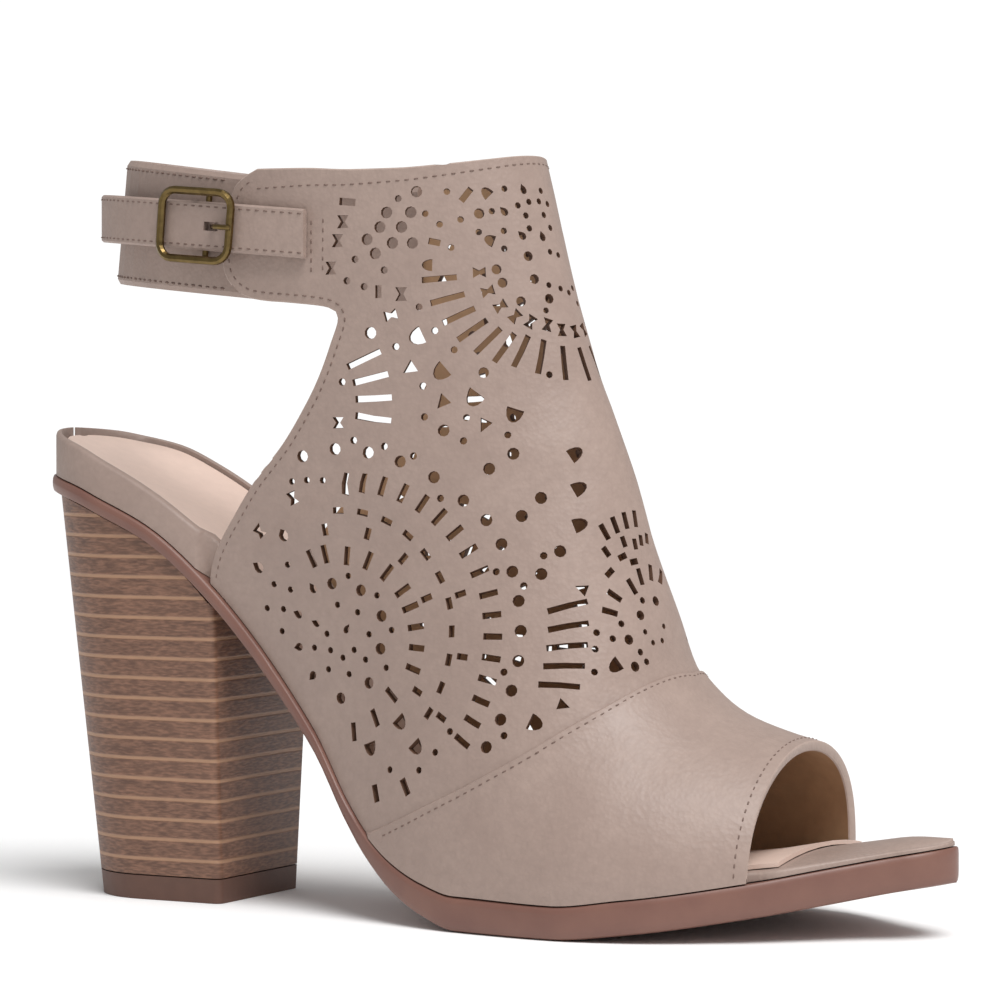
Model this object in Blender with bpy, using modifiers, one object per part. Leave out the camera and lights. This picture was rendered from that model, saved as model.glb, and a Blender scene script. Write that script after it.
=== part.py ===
"""Right block heel sandal: open back, peep toe, perforated upper, band and buckled ankle strap.

The shoe stands on the XY plane with its toe towards +X and its inner (medial) side towards +Y.
The origin lies on the floor under the middle of its box. Lengths are in metres.
"""
import math

import bmesh
import bpy
import numpy as np
from mathutils import Vector
from mathutils.geometry import delaunay_2d_cdt

MM = 0.001

# Driving sizes
SHOE_LENGTH = 236 * MM
BALL_WIDTH = 85 * MM
HEEL_RISE = 99.7 * MM
COLLAR_HEIGHT = 178 * MM
ANKLE_WIDTH = 63 * MM
FIT_GAP = 0.3 * MM

# Sole
SOLE_EDGE = 7.6 * MM
SOLE_ROUND = 1.3 * MM
HEEL_ROUND = 27 * MM
TOE_ROUND = 9 * MM
NOSE_WIDTH = 1.0 * MM
STATION_STEP = 5.8 * MM

# Wrapped footbed and the sock that lies in it
RIM_HEIGHT = 10.6 * MM
RIM_INSET = 0.9 * MM
RIM_WIDTH = 2.4 * MM
SEAT_CUP = 3.4 * MM
TOE_CROWN = 2.2 * MM
SOCK_DROP = 1.4 * MM
SOCK_THICKNESS = 1.0 * MM
SOCK_FRONT = 0.862

# Stacked heel
HEEL_TOP = (2.4 * MM, 56.9 * MM)
HEEL_FOOT = (14.4 * MM, 56.5 * MM)
HEEL_TOP_HALF = 26.0 * MM
HEEL_FOOT_HALF = 18.6 * MM
HEEL_FOOT_SHIFT = -2.0 * MM
HEEL_BACK_SHARE = 0.46
HEEL_CORNER = 2.0 * MM
TOPLIFT = 5.8 * MM

# Upper
FEATHER_INSET = 1.3 * MM
WALL = 1.7 * MM
VAMP_STEP = 0.8 * MM
STEP_WIDTH = 0.5 * MM
UPPER_GRID = 6.0 * MM
GIRTH_RADIUS = 38 * MM
ROW_PITCH = 13 * MM
STROLL_STEP = 2 * MM
CUT_GAP = 0.8 * MM
EDGE_GAP = 3 * MM

# Band round the back of the ankle
CUFF_THICKNESS = 2.4 * MM
CUFF_REACH = 44.3 * MM
CUFF_LAP = 22.0 * MM
CUFF_RISE = (2.7 * MM, -4.0 * MM)
CUFF_WIDTH = 30.3 * MM
CUFF_LEAN = 3.3 * MM

# Ankle strap
STRAP_WIDTH = 11.6 * MM
STRAP_THICKNESS = 2.0 * MM
STRAP_LAP = 21.5 * MM
STRAP_REACH = 43.0 * MM
STRAP_DROP = (17.7 * MM, 12.0 * MM)
STRAP_LIFT = 1.2 * MM
TIP_LIFT = 2.6 * MM

# Buckle
BUCKLE_BACK = 6.5 * MM
BUCKLE_LENGTH = 21.2 * MM
BUCKLE_HEIGHT = 18.2 * MM
BUCKLE_WIRE = 2.0 * MM
BUCKLE_CORNER = 4.6 * MM
BAR_WIRE = 1.6 * MM
PRONG_WIRE = 1.3 * MM
PRONG_HOLE = (3.8 * MM, 2.1 * MM)
PRONG_HOLE_AT = 3.8 * MM
LOOP_THICKNESS = 0.9 * MM
LOOP_WIDTH = 7.5 * MM
LOOP_REACH = 4.2 * MM

# Where the toe is cut open and where band and tab meet, as shares of the length
TAB_PLACE = 0.2754
TOE_OPENING = 0.839
TOE_SKEW = 0.002

# Sole: shares of SHOE_LENGTH, BALL_WIDTH, HEEL_RISE and SOLE_EDGE
SOLE_COLUMNS = ("along", "lateral", "medial", "rise", "edge")
SOLE_ROWS = (
    (0.000, 0.318, 0.318, 1.000, 0.53),
    (0.042, 0.318, 0.318, 0.985, 0.53),
    (0.076, 0.318, 0.316, 0.966, 0.54),
    (0.110, 0.318, 0.312, 0.934, 0.54),
    (0.173, 0.316, 0.300, 0.861, 0.55),
    (0.239, 0.298, 0.272, 0.725, 0.60),
    (0.297, 0.276, 0.246, 0.563, 0.64),
    (0.355, 0.286, 0.238, 0.391, 0.62),
    (0.404, 0.330, 0.256, 0.223, 0.66),
    (0.432, 0.363, 0.285, 0.149, 0.72),
    (0.474, 0.408, 0.345, 0.069, 0.88),
    (0.512, 0.442, 0.395, 0.026, 0.98),
    (0.553, 0.470, 0.440, 0.000, 1.05),
    (0.661, 0.500, 0.497, 0.000, 1.00),
    (0.730, 0.468, 0.490, 0.016, 1.04),
    (0.838, 0.328, 0.415, 0.055, 1.04),
    (0.901, 0.204, 0.308, 0.084, 1.06),
    (0.957, 0.098, 0.190, 0.111, 1.05),
    (1.000, 0.055, 0.132, 0.128, 1.06),
)

# Footbed: height of its edge as a share of RIM_HEIGHT, hollow of its top as a share of SEAT_CUP,
# swell of its top as a share of TOE_CROWN, recess for the sock, and how far it lies in the upper
BED_COLUMNS = ("along", "rim", "cup", "crown", "recess", "inside")
BED_ROWS = (
    (0.000, 1.06, 0.00, 0.0, 1.0, 0.0),
    (0.022, 1.04, 0.10, 0.0, 1.0, 0.0),
    (0.045, 0.98, 0.35, 0.0, 1.0, 0.0),
    (0.085, 0.93, 0.80, 0.0, 1.0, 0.0),
    (0.120, 0.89, 1.00, 0.0, 1.0, 0.0),
    (0.170, 0.84, 0.90, 0.0, 1.0, 0.0),
    (0.210, 0.90, 0.60, 0.0, 1.0, 0.0),
    (0.222, 0.96, 0.50, 0.0, 1.0, 0.0),
    (0.234, 1.02, 0.40, 0.0, 1.0, 1.0),
    (0.250, 1.04, 0.30, 0.0, 1.0, 1.0),
    (0.300, 0.85, 0.20, 0.0, 1.0, 1.0),
    (0.340, 0.65, 0.10, 0.0, 0.8, 1.0),
    (0.420, 0.52, 0.00, 0.1, 0.5, 1.0),
    (0.460, 0.38, 0.00, 0.2, 0.3, 1.0),
    (0.520, 0.32, 0.00, 0.3, 0.2, 1.0),
    (0.800, 0.28, 0.00, 0.6, 0.1, 1.0),
    (0.845, 0.24, 0.00, 0.8, 0.0, 1.0),
    (0.868, 0.20, 0.00, 1.0, 0.0, 0.0),
    (0.940, 0.15, 0.00, 1.0, 0.0, 0.0),
    (1.000, 0.12, 0.00, 0.3, 0.0, 0.0),
)

# Upper: each row is a section from its ends, on the sole or behind it, to its ridge.
# Shares: along of SHOE_LENGTH, ridge_up of COLLAR_HEIGHT, lift (of the ends above the sole) of
# COLLAR_HEIGHT, ridge_side of BALL_WIDTH, spread (added half width at the ends) of ANKLE_WIDTH.
UPPER_COLUMNS = (
    "ridge_along", "ridge_up", "ridge_side", "end_along", "lift", "spread",
    "tuck", "lateral_round", "medial_round",
)
UPPER_ROWS = (
    (0.865, 0.229, 0.094, 0.865, 0.000, 0.00, 0.00, 1.8, 3.2),
    (0.803, 0.248, 0.094, 0.793, 0.000, 0.00, 0.02, 1.8, 3.0),
    (0.755, 0.272, 0.084, 0.724, 0.000, 0.00, 0.03, 1.8, 2.8),
    (0.727, 0.303, 0.073, 0.657, 0.000, 0.00, 0.04, 1.8, 2.5),
    (0.709, 0.340, 0.064, 0.594, 0.000, 0.00, 0.05, 1.8, 2.2),
    (0.696, 0.408, 0.053, 0.530, 0.000, 0.00, 0.08, 1.9, 2.1),
    (0.678, 0.486, 0.041, 0.462, 0.000, 0.00, 0.16, 2.0, 2.1),
    (0.660, 0.578, 0.030, 0.394, 0.000, 0.00, 0.27, 2.1, 2.1),
    (0.639, 0.656, 0.018, 0.318, 0.000, 0.00, 0.34, 2.2, 2.2),
    (0.613, 0.753, 0.008, 0.237, 0.000, 0.00, 0.26, 2.4, 2.4),
    (0.589, 0.860, 0.000, 0.246, 0.190, 0.07, 0.10, 2.7, 2.7),
    (0.570, 0.955, 0.000, 0.252, 0.395, 0.11, 0.01, 3.0, 3.0),
    (0.554, 1.034, 0.000, 0.252, 0.620, 0.11, 0.00, 3.0, 3.0),
)

# Back opening and tab, from the sole up, in the side view
BACK_COLUMNS = ("along", "up")
BACK_ROWS = (
    (0.236, 0.434),
    (0.248, 0.478),
    (0.275, 0.530),
    (0.300, 0.573),
    (0.335, 0.623),
    (0.361, 0.672),
    (0.378, 0.712),
    (0.392, 0.757),
    (0.400, 0.790),
    (0.389, 0.805),
    (0.348, 0.812),
    (0.320, 0.815),
    (0.299, 0.820),
    (0.285, 0.830),
    (0.273, 0.850),
    (0.270, 0.880),
    (0.275, 0.920),
    (0.281, 0.955),
    (0.288, 0.970),
    (0.299, 0.980),
)

# Collar from the tab to the front, in the side view
COLLAR_COLUMNS = ("along", "up")
COLLAR_ROWS = (
    (0.285, 0.987),
    (0.363, 0.986),
    (0.410, 0.983),
    (0.457, 0.984),
    (0.500, 0.989),
    (0.535, 0.996),
    (0.561, 1.004),
)

# Edge of the vamp from the sole to the ridge, in the side view
SEAM_COLUMNS = ("along", "up")
SEAM_ROWS = (
    (0.428, 0.104),
    (0.504, 0.153),
    (0.563, 0.190),
    (0.615, 0.228),
    (0.648, 0.258),
    (0.683, 0.292),
    (0.706, 0.318),
    (0.716, 0.325),
)

# Medallions of the cut pattern: their centres in the side view, as shares like the tables above
MEDALLIONS = {
    "instep": (0.583, 0.860),
    "side": (0.398, 0.365),
    "toe": (0.696, 0.385),
    "back": (0.326, 0.680),
}

# Rings of cuts about a medallion. Headings are degrees clockwise from the top, seen from outside.
# Radii and sizes are in millimetres, length along the radius. Mirrored rings are cut on the
# medial side too.
RING_COLUMNS = (
    "medallion", "shape", "count", "first", "last", "first_radius", "last_radius",
    "length", "width", "mirrored",
)
RING_ROWS = (
    ("instep", "ray", 13, 150, 276, 23.5, 27.5, 8.0, 1.3, False),
    ("instep", "half", 4, 212, 258, 40.0, 38.0, 3.3, 4.0, True),
    ("instep", "triangle", 4, 208, 250, 47.0, 43.5, 3.0, 3.0, True),
    ("side", "half", 2, 172, 196, 26.5, 27.0, 3.2, 3.6, True),
    ("side", "half", 1, 172, 172, 34.4, 34.4, 3.2, 3.6, True),
    ("side", "circle", 6, 22, 80, 43.4, 46.0, 2.8, 2.8, False),
    ("side", "circle", 9, 89, 155, 47.4, 49.4, 2.8, 2.8, True),
    ("side", "circle", 4, 64, 108, 56.0, 54.4, 2.8, 2.8, False),
    ("side", "circle", 3, 80, 104, 62.0, 60.0, 2.8, 2.8, False),
    ("side", "ray", 5, 116, 134, 59.6, 59.6, 9.2, 1.3, True),
    ("side", "half", 4, 88, 106, 73.0, 62.5, 3.6, 3.2, False),
    ("side", "half", 1, 144, 144, 57.4, 57.4, 3.4, 3.6, True),
    ("side", "triangle", 2, 132, 138, 66.0, 62.0, 2.8, 2.8, False),
    ("toe", "half", 2, 242, 250, 21.8, 16.2, 3.4, 3.2, False),
    ("back", "ray", 4, 64, 98, 25.5, 25.5, 8.8, 1.4, True),
)


def smooth(columns, rows, column, where):
    """Value of a table's column at a place, on a curve through its rows that never overshoots."""
    table = np.array(rows, float)
    xs = table[:, 0]
    ys = table[:, columns.index(column)]
    return steady_curve(xs, ys, where)


def steady_curve(xs, ys, where):
    """Cubic through points whose slopes never overshoot."""
    steps = np.diff(xs)
    slopes = np.diff(ys) / steps
    tangents = np.zeros(len(xs))
    for i in range(1, len(xs) - 1):
        before, after = slopes[i - 1], slopes[i]
        if before * after > 0:
            wide, narrow = 2 * steps[i] + steps[i - 1], steps[i] + 2 * steps[i - 1]
            tangents[i] = (wide + narrow) / (wide / before + narrow / after)
    tangents[0], tangents[-1] = slopes[0], slopes[-1]
    at = np.clip(np.asarray(where, float), xs[0], xs[-1])
    index = np.clip(np.searchsorted(xs, at, side="right") - 1, 0, len(xs) - 2)
    step = steps[index]
    t = (at - xs[index]) / step
    value = (
        (1 + 2 * t) * (1 - t) ** 2 * ys[index]
        + t * (1 - t) ** 2 * step * tangents[index]
        + t * t * (3 - 2 * t) * ys[index + 1]
        + t * t * (t - 1) * step * tangents[index + 1]
    )
    return value


def sole_value(column, x):
    return smooth(SOLE_COLUMNS, SOLE_ROWS, column, x / SHOE_LENGTH)


def underside(x):
    return HEEL_RISE * sole_value("rise", x)


def sole_top(x):
    return underside(x) + SOLE_EDGE * sole_value("edge", x)


def end_factor(x):
    """Share of the full width that is left where heel and toe are rounded in plan."""
    factor = 1.0
    if x < HEEL_ROUND:
        factor *= math.sqrt(max(0.0, 1 - ((HEEL_ROUND - x) / HEEL_ROUND) ** 2))
    toe = SHOE_LENGTH - x
    if toe < TOE_ROUND:
        factor *= math.sqrt(max(0.0, 1 - ((TOE_ROUND - toe) / TOE_ROUND) ** 2))
    return factor


def stations():
    """Places along the shoe where the sole and what lies on it have their sections."""
    heel = [HEEL_ROUND * (1 - math.cos(math.radians(a))) for a in range(0, 90, 10)]
    toe = [TOE_ROUND * (1 - math.cos(math.radians(a))) for a in range(0, 90, 15)]
    body_length = SHOE_LENGTH - HEEL_ROUND - TOE_ROUND
    count = round(body_length / STATION_STEP)
    body = [HEEL_ROUND + body_length * i / count for i in range(count + 1)]
    turns = []
    for row, following in zip(BED_ROWS, BED_ROWS[1:]):
        if row[-1] != following[-1]:
            turns += [row[0] * SHOE_LENGTH, following[0] * SHOE_LENGTH]
    places = heel + body + [SHOE_LENGTH - x for x in toe]
    places = [x for x in places if all(abs(x - turn) > 0.3 * STATION_STEP for turn in turns)]
    return sorted(places + turns)


def edge_pair(x):
    """Lateral and medial edge of the sole at one place, in plan."""
    lateral = -BALL_WIDTH * float(sole_value("lateral", x))
    medial = BALL_WIDTH * float(sole_value("medial", x))
    middle, half = (lateral + medial) / 2, (medial - lateral) / 2
    half = max(half * end_factor(x), NOSE_WIDTH / 2)
    return Vector((x, middle - half)), Vector((x, middle + half))


def sole_outline(inset):
    """Pairs of lateral and medial plan points, moved in from the sole's edge by inset(x)."""
    pairs = [edge_pair(x) for x in stations()]
    loop = [p[0] for p in pairs] + [p[1] for p in reversed(pairs)]
    moved = []
    for i, point in enumerate(loop):
        run = (loop[(i + 1) % len(loop)] - loop[i - 1]).normalized()
        inward = Vector((-run.y, run.x))
        moved.append(point + inward * inset(point.x))
    count = len(pairs)
    return list(zip(moved[:count], reversed(moved[count:])))


def loft(name, rings, colour, roughness, metallic=0.0, closed=False):
    """Closed solid from rings of like point counts, with its ends capped."""
    mesh = bmesh.new()
    loops = [[mesh.verts.new(p) for p in ring] for ring in rings]
    count = len(loops[0])
    spans = list(zip(loops, loops[1:] + loops[:1])) if closed else list(zip(loops, loops[1:]))
    for first, second in spans:
        for i in range(count):
            j = (i + 1) % count
            mesh.faces.new((first[i], first[j], second[j], second[i]))
    if not closed:
        mesh.faces.new(list(reversed(loops[0])))
        mesh.faces.new(loops[-1])
    bmesh.ops.recalc_face_normals(mesh, faces=mesh.faces)
    return add_object(name, mesh, colour, roughness, metallic)


def add_object(name, mesh, colour, roughness, metallic=0.0):
    """Object from a bmesh, moved from the heel's back to the part's origin, with its material."""
    bmesh.ops.translate(mesh, verts=mesh.verts, vec=(-SHOE_LENGTH / 2, 0, 0))
    data = bpy.data.meshes.new(name)
    mesh.to_mesh(data)
    mesh.free()
    data.shade_smooth()
    data.set_sharp_from_angle(angle=math.radians(35))
    thing = bpy.data.objects.new(name, data)
    COLLECTION.objects.link(thing)
    thing.data.materials.append(material(name, colour, roughness, metallic))
    return thing


def material(name, colour, roughness, metallic):
    finish = bpy.data.materials.new(name + "_finish")
    finish.use_nodes = True
    shader = finish.node_tree.nodes["Principled BSDF"]
    shader.inputs["Base Color"].default_value = (*colour, 1)
    shader.inputs["Roughness"].default_value = roughness
    shader.inputs["Metallic"].default_value = metallic
    return finish


def across(pair, distance, from_medial=False):
    """Plan point at a distance in from one edge of a section, held short of its middle."""
    lateral, medial = pair
    width = (medial - lateral).length
    share = min(distance / width, 0.42)
    return medial.lerp(lateral, share) if from_medial else lateral.lerp(medial, share)


def make_outsole():
    """Moulded sole with its arch, toe spring and rounded edge."""
    rings = []
    for pair in sole_outline(lambda x: 0.0):
        profile = (
            (2 * SOLE_ROUND, underside, 0.0),
            (0.3 * SOLE_ROUND, underside, 0.4 * SOLE_ROUND),
            (0.0, underside, SOLE_ROUND),
            (0.0, sole_top, -0.8 * SOLE_ROUND),
            (0.35 * SOLE_ROUND, sole_top, -0.2 * SOLE_ROUND),
            (SOLE_ROUND, sole_top, 0.0),
        )
        lateral, medial = [], []
        for distance, level, lift in profile:
            near = across(pair, distance)
            far = across(pair, distance, True)
            lateral.append(Vector((near.x, near.y, float(level(near.x)) + lift)))
            medial.append(Vector((far.x, far.y, float(level(far.x)) + lift)))
        rings.append(lateral + list(reversed(medial)))
    return loft("outsole", rings, (0.165, 0.085, 0.062), 0.5)


def bed_value(column, x):
    return float(smooth(BED_COLUMNS, BED_ROWS, column, x / SHOE_LENGTH))


def rim_top(x):
    """Top of the wrapped footbed's edge."""
    return float(sole_top(x)) + RIM_HEIGHT * bed_value("rim", x)


def footbed_inset(x):
    """The footbed is at the sole's edge at seat and toe and inside the upper between them."""
    inside = FEATHER_INSET + WALL + 2 * FIT_GAP
    return RIM_INSET + (inside - RIM_INSET) * bed_value("inside", x)


def bed_level(x, share):
    """Top of the footbed within its rim; share is 0 at its edge and 1 in the middle."""
    swell = TOE_CROWN * bed_value("crown", x) - SEAT_CUP * bed_value("cup", x)
    recess = (SOCK_DROP + SOCK_THICKNESS + FIT_GAP) * bed_value("recess", x)
    return rim_top(x) - recess + swell * share * (2 - share)


def make_footbed():
    """Insole board wrapped in leather, hollowed for the sock at the seat, swelled at the toe."""
    rings = []
    for pair in sole_outline(footbed_inset):
        width = (pair[1] - pair[0]).length
        rim = min(RIM_WIDTH, 0.2 * width)
        sides = []
        for side in (0, 1):
            edge, other = pair[side], pair[1 - side]
            floor = float(sole_top(edge.x)) + FIT_GAP
            top = rim_top(edge.x)
            round_off = min(1.1 * MM, 0.45 * (top - floor))
            points = [Vector((edge.x, edge.y, floor)), Vector((edge.x, edge.y, top - round_off))]
            for distance, drop in ((0.25, 0.3), (0.65, 0.0), (1.0, 0.1)):
                crest = edge.lerp(other, distance * rim / width)
                points.append(Vector((crest.x, crest.y, rim_top(crest.x) - drop * round_off)))
            for share in (0.0, 0.35, 0.8):
                spot = edge.lerp(other, (1.1 * rim + share * (0.5 * width - 1.1 * rim)) / width)
                points.append(Vector((spot.x, spot.y, bed_level(spot.x, share))))
            sides.append(points)
        rings.append(sides[0] + list(reversed(sides[1])))
    return loft("footbed", rings, (0.36, 0.28, 0.25), 0.55)


def make_sock_lining():
    """Thin sock that follows the footbed's hollow from the seat to the toe opening."""
    rings = []
    edge_inset = 1.1 * RIM_WIDTH + FIT_GAP
    for pair in sole_outline(lambda x: footbed_inset(x) + edge_inset):
        if pair[0].x > SOCK_FRONT * SHOE_LENGTH:
            break
        if pair[1].y - pair[0].y < edge_inset:
            continue
        over, under = [], []
        for share in (0.0, 0.12, 0.3, 0.5, 0.7, 0.88, 1.0):
            spot = pair[0].lerp(pair[1], share)
            level = bed_level(spot.x, 1 - abs(2 * share - 1)) + FIT_GAP
            under.append(Vector((spot.x, spot.y, level)))
            over.append(Vector((spot.x, spot.y, level + SOCK_THICKNESS)))
        rings.append(under + list(reversed(over)))
    return loft("sock_lining", rings, (0.80, 0.62, 0.54), 0.5)


def heel_plan(back, front, half, shift):
    """Pairs of plan points of the heel: rounded at the back, flat at the breast."""
    length = front - back
    bend = HEEL_BACK_SHARE * length
    turns = [bend * (1 - math.cos(math.radians(a))) for a in (0, 14, 28, 42, 56, 72, 90)]
    flat_end = length - HEEL_CORNER
    sides = [bend + (flat_end - bend) * i / 4 for i in range(1, 5)]
    corner = [flat_end + HEEL_CORNER * math.sin(math.radians(a)) for a in (35, 65, 90)]
    pairs = []
    for x in turns + sides + corner:
        reach = half
        if x < bend:
            reach *= math.sqrt(max(0.0, 1 - ((bend - x) / bend) ** 2))
        if x > flat_end:
            reach -= HEEL_CORNER - math.sqrt(max(0.0, HEEL_CORNER ** 2 - (x - flat_end) ** 2))
        reach = max(reach, NOSE_WIDTH / 2)
        pairs.append((Vector((back + x, shift - reach)), Vector((back + x, shift + reach))))
    return pairs


def make_heel_block():
    """Block that tapers from the seat down to the toplift, its top cut to the sole."""
    top = heel_plan(*HEEL_TOP, HEEL_TOP_HALF, 0.0)
    foot = heel_plan(*HEEL_FOOT, HEEL_FOOT_HALF, HEEL_FOOT_SHIFT)
    rings = []
    base = TOPLIFT + FIT_GAP
    seats = np.array(stations())
    for upper_pair, lower_pair in zip(top, foot):
        side_rows = []
        for high, low in zip(upper_pair, lower_pair):
            crown = float(np.interp(high.x, seats, underside(seats))) - FIT_GAP
            column = []
            for share in (0.0, 0.33, 0.66, 1.0):
                level = base + (crown - base) * share
                reach = level / HEEL_RISE
                spot = low.lerp(high, min(reach, 1.0))
                column.append(Vector((spot.x, spot.y, level)))
            side_rows.append(column)
        rings.append(side_rows[0] + list(reversed(side_rows[1])))
    return loft("heel_block", rings, (0.17, 0.085, 0.055), 0.55)


def make_toplift():
    """Top piece under the heel block, flat on the floor."""
    rings = []
    top = heel_plan(*HEEL_TOP, HEEL_TOP_HALF, 0.0)
    foot = heel_plan(*HEEL_FOOT, HEEL_FOOT_HALF, HEEL_FOOT_SHIFT)
    for upper_pair, lower_pair in zip(top, foot):
        ring = []
        for level, side in ((0.0, 0), (TOPLIFT, 0), (TOPLIFT, 1), (0.0, 1)):
            spot = lower_pair[side].lerp(upper_pair[side], level / HEEL_RISE)
            ring.append(Vector((spot.x, spot.y, level)))
        rings.append(ring)
    return loft("toplift", rings, (0.085, 0.045, 0.04), 0.5)


def upper_value(column, row):
    """Column of the upper's table at a place between its rows, counted from 0 at the toe."""
    index = UPPER_COLUMNS.index(column)
    values = np.array([line[index] for line in UPPER_ROWS], float)
    return float(steady_curve(np.arange(len(values), dtype=float), values, row))


def row_ends(row):
    """Side-view ends of one section: its foot, near the sole or behind it, and its ridge."""
    foot_x = SHOE_LENGTH * upper_value("end_along", row)
    foot_z = float(sole_top(foot_x)) + FIT_GAP + COLLAR_HEIGHT * upper_value("lift", row)
    ridge_x = SHOE_LENGTH * upper_value("ridge_along", row)
    ridge_z = COLLAR_HEIGHT * upper_value("ridge_up", row)
    return foot_x, foot_z, ridge_x, ridge_z


def upper_point(row, turn):
    """Point of the upper's outer face; turn runs from -90 (lateral) over 0 (ridge) to 90."""
    foot_x, foot_z, ridge_x, ridge_z = row_ends(row)
    climb = math.cos(math.radians(abs(turn)))
    lateral = turn < 0
    spread = ANKLE_WIDTH * upper_value("spread", row) - FEATHER_INSET
    outline = edge_pair(foot_x)[0 if lateral else 1].y
    end_y = outline + (-spread if lateral else spread)
    ridge_y = BALL_WIDTH * upper_value("ridge_side", row)
    fullness = upper_value("lateral_round" if lateral else "medial_round", row)
    tuck = upper_value("tuck", row)
    width = math.sqrt(max(0.0, 1 - climb ** fullness))
    width *= (1 - tuck * (1 - climb) ** 2) / (1 - tuck)
    y = ridge_y + (end_y - ridge_y) * width
    return Vector((foot_x + (ridge_x - foot_x) * climb, y, foot_z + (ridge_z - foot_z) * climb))


def upper_normal(row, turn):
    """Outward direction of the upper's face."""
    step_row, step_turn = 0.02, 1.0
    last = len(UPPER_ROWS) - 1
    low, high = max(row - step_row, 0.0), min(row + step_row, last)
    left, right = max(turn - step_turn, -89.9), min(turn + step_turn, 89.9)
    along = upper_point(high, turn) - upper_point(low, turn)
    around = upper_point(row, right) - upper_point(row, left)
    return around.cross(along).normalized()


def locate(x, z):
    """Row and turn (lateral or medial alike) of the upper's face at a side-view place."""
    low, high = 0.0, len(UPPER_ROWS) - 1.0
    for _ in range(40):
        middle = (low + high) / 2
        foot_x, foot_z, ridge_x, ridge_z = row_ends(middle)
        side = (ridge_x - foot_x) * (z - foot_z) - (ridge_z - foot_z) * (x - foot_x)
        if side > 0:
            low = middle
        else:
            high = middle
    foot_x, foot_z, ridge_x, ridge_z = row_ends(low)
    run_x, run_z = ridge_x - foot_x, ridge_z - foot_z
    climb = ((x - foot_x) * run_x + (z - foot_z) * run_z) / (run_x ** 2 + run_z ** 2)
    return low, math.degrees(math.acos(min(max(climb, 0.0), 1.0)))


def solve_row(turn, beyond):
    """Row at which beyond(point) turns true, going from the toe to the collar."""
    low, high = 0.0, len(UPPER_ROWS) - 1.0
    for _ in range(40):
        middle = (low + high) / 2
        if beyond(upper_point(middle, turn)):
            high = middle
        else:
            low = middle
    return low


def smooth_path(points, step):
    """Points at even steps on a curve through all the given ones."""
    knots = [Vector(p) for p in points]
    knots = [2 * knots[0] - knots[1]] + knots + [2 * knots[-1] - knots[-2]]
    path = []
    for i in range(1, len(knots) - 2):
        before, start, end, after = knots[i - 1:i + 3]
        count = max(1, round((end - start).length / step))
        for k in range(count):
            t = k / count
            path.append(0.5 * (
                2 * start + (end - before) * t
                + (2 * before - 5 * start + 4 * end - after) * t * t
                + (3 * start - before - 3 * end + after) * t ** 3
            ))
    path.append(knots[-2])
    return path


def side_table(rows):
    """A side-view table of shares as places."""
    return [Vector((a * SHOE_LENGTH, b * COLLAR_HEIGHT)) for a, b in rows]


def seam_row(turn):
    """Row of the vamp's edge at a turn."""
    return float(steady_curve(SEAM_TURNS, SEAM_PLACES, abs(turn)))


def seam_places():
    spots = [locate(p.x, p.y) for p in side_table(SEAM_ROWS)]
    spots.sort(key=lambda spot: spot[1])
    turns = [0.0] + [s[1] for s in spots[1:-1]] + [90.0]
    return np.array(turns), np.array([s[0] for s in spots])


def collar_height(x):
    table = np.array(COLLAR_ROWS)
    return COLLAR_HEIGHT * float(steady_curve(table[:, 0], table[:, 1], x / SHOE_LENGTH))


def toe_edge(turn):
    """Place of the toe opening, a little further forward on the medial side."""
    return SHOE_LENGTH * (TOE_OPENING + TOE_SKEW * turn / 90)


def flat(turn, row):
    """Place in the upper's flat pattern, about to scale."""
    return (math.radians(turn) * GIRTH_RADIUS, row * ROW_PITCH)


def unflat(place):
    """Turn and row of a place in the flat pattern."""
    return math.degrees(place[0] / GIRTH_RADIUS), place[1] / ROW_PITCH


def upper_border():
    """Outline of the upper in its flat pattern: toe opening, feather edges, tabs and collar."""
    toe = [
        (turn, solve_row(turn, lambda p: p.x < toe_edge(turn)))
        for turn in np.linspace(90, -90, 31)
    ]
    back = [locate(p.x, p.y) for p in smooth_path(side_table(BACK_ROWS), 4 * MM)]
    back[0] = (back[0][0], 90.0)
    corner = back[-1][1]
    collar = [
        (turn, solve_row(turn, lambda p: p.z > collar_height(p.x)))
        for turn in np.linspace(-corner, corner, 29)[1:-1]
    ]
    feather_rows = np.linspace(toe[-1][1], back[0][0], 34)[1:-1]
    lateral = [(-90.0, row) for row in feather_rows]
    lateral += [(-turn, row) for row, turn in back]
    medial = [(-turn, row) for turn, row in reversed(lateral)]
    return [flat(turn, row) for turn, row in toe + lateral + collar + medial]


def inside(polygon, place):
    """Whether a place lies in a polygon."""
    x, y = place
    hit = False
    for (x1, y1), (x2, y2) in zip(polygon, polygon[1:] + polygon[:1]):
        if (y1 > y) != (y2 > y) and x < x1 + (y - y1) / (y2 - y1) * (x2 - x1):
            hit = not hit
    return hit


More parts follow.
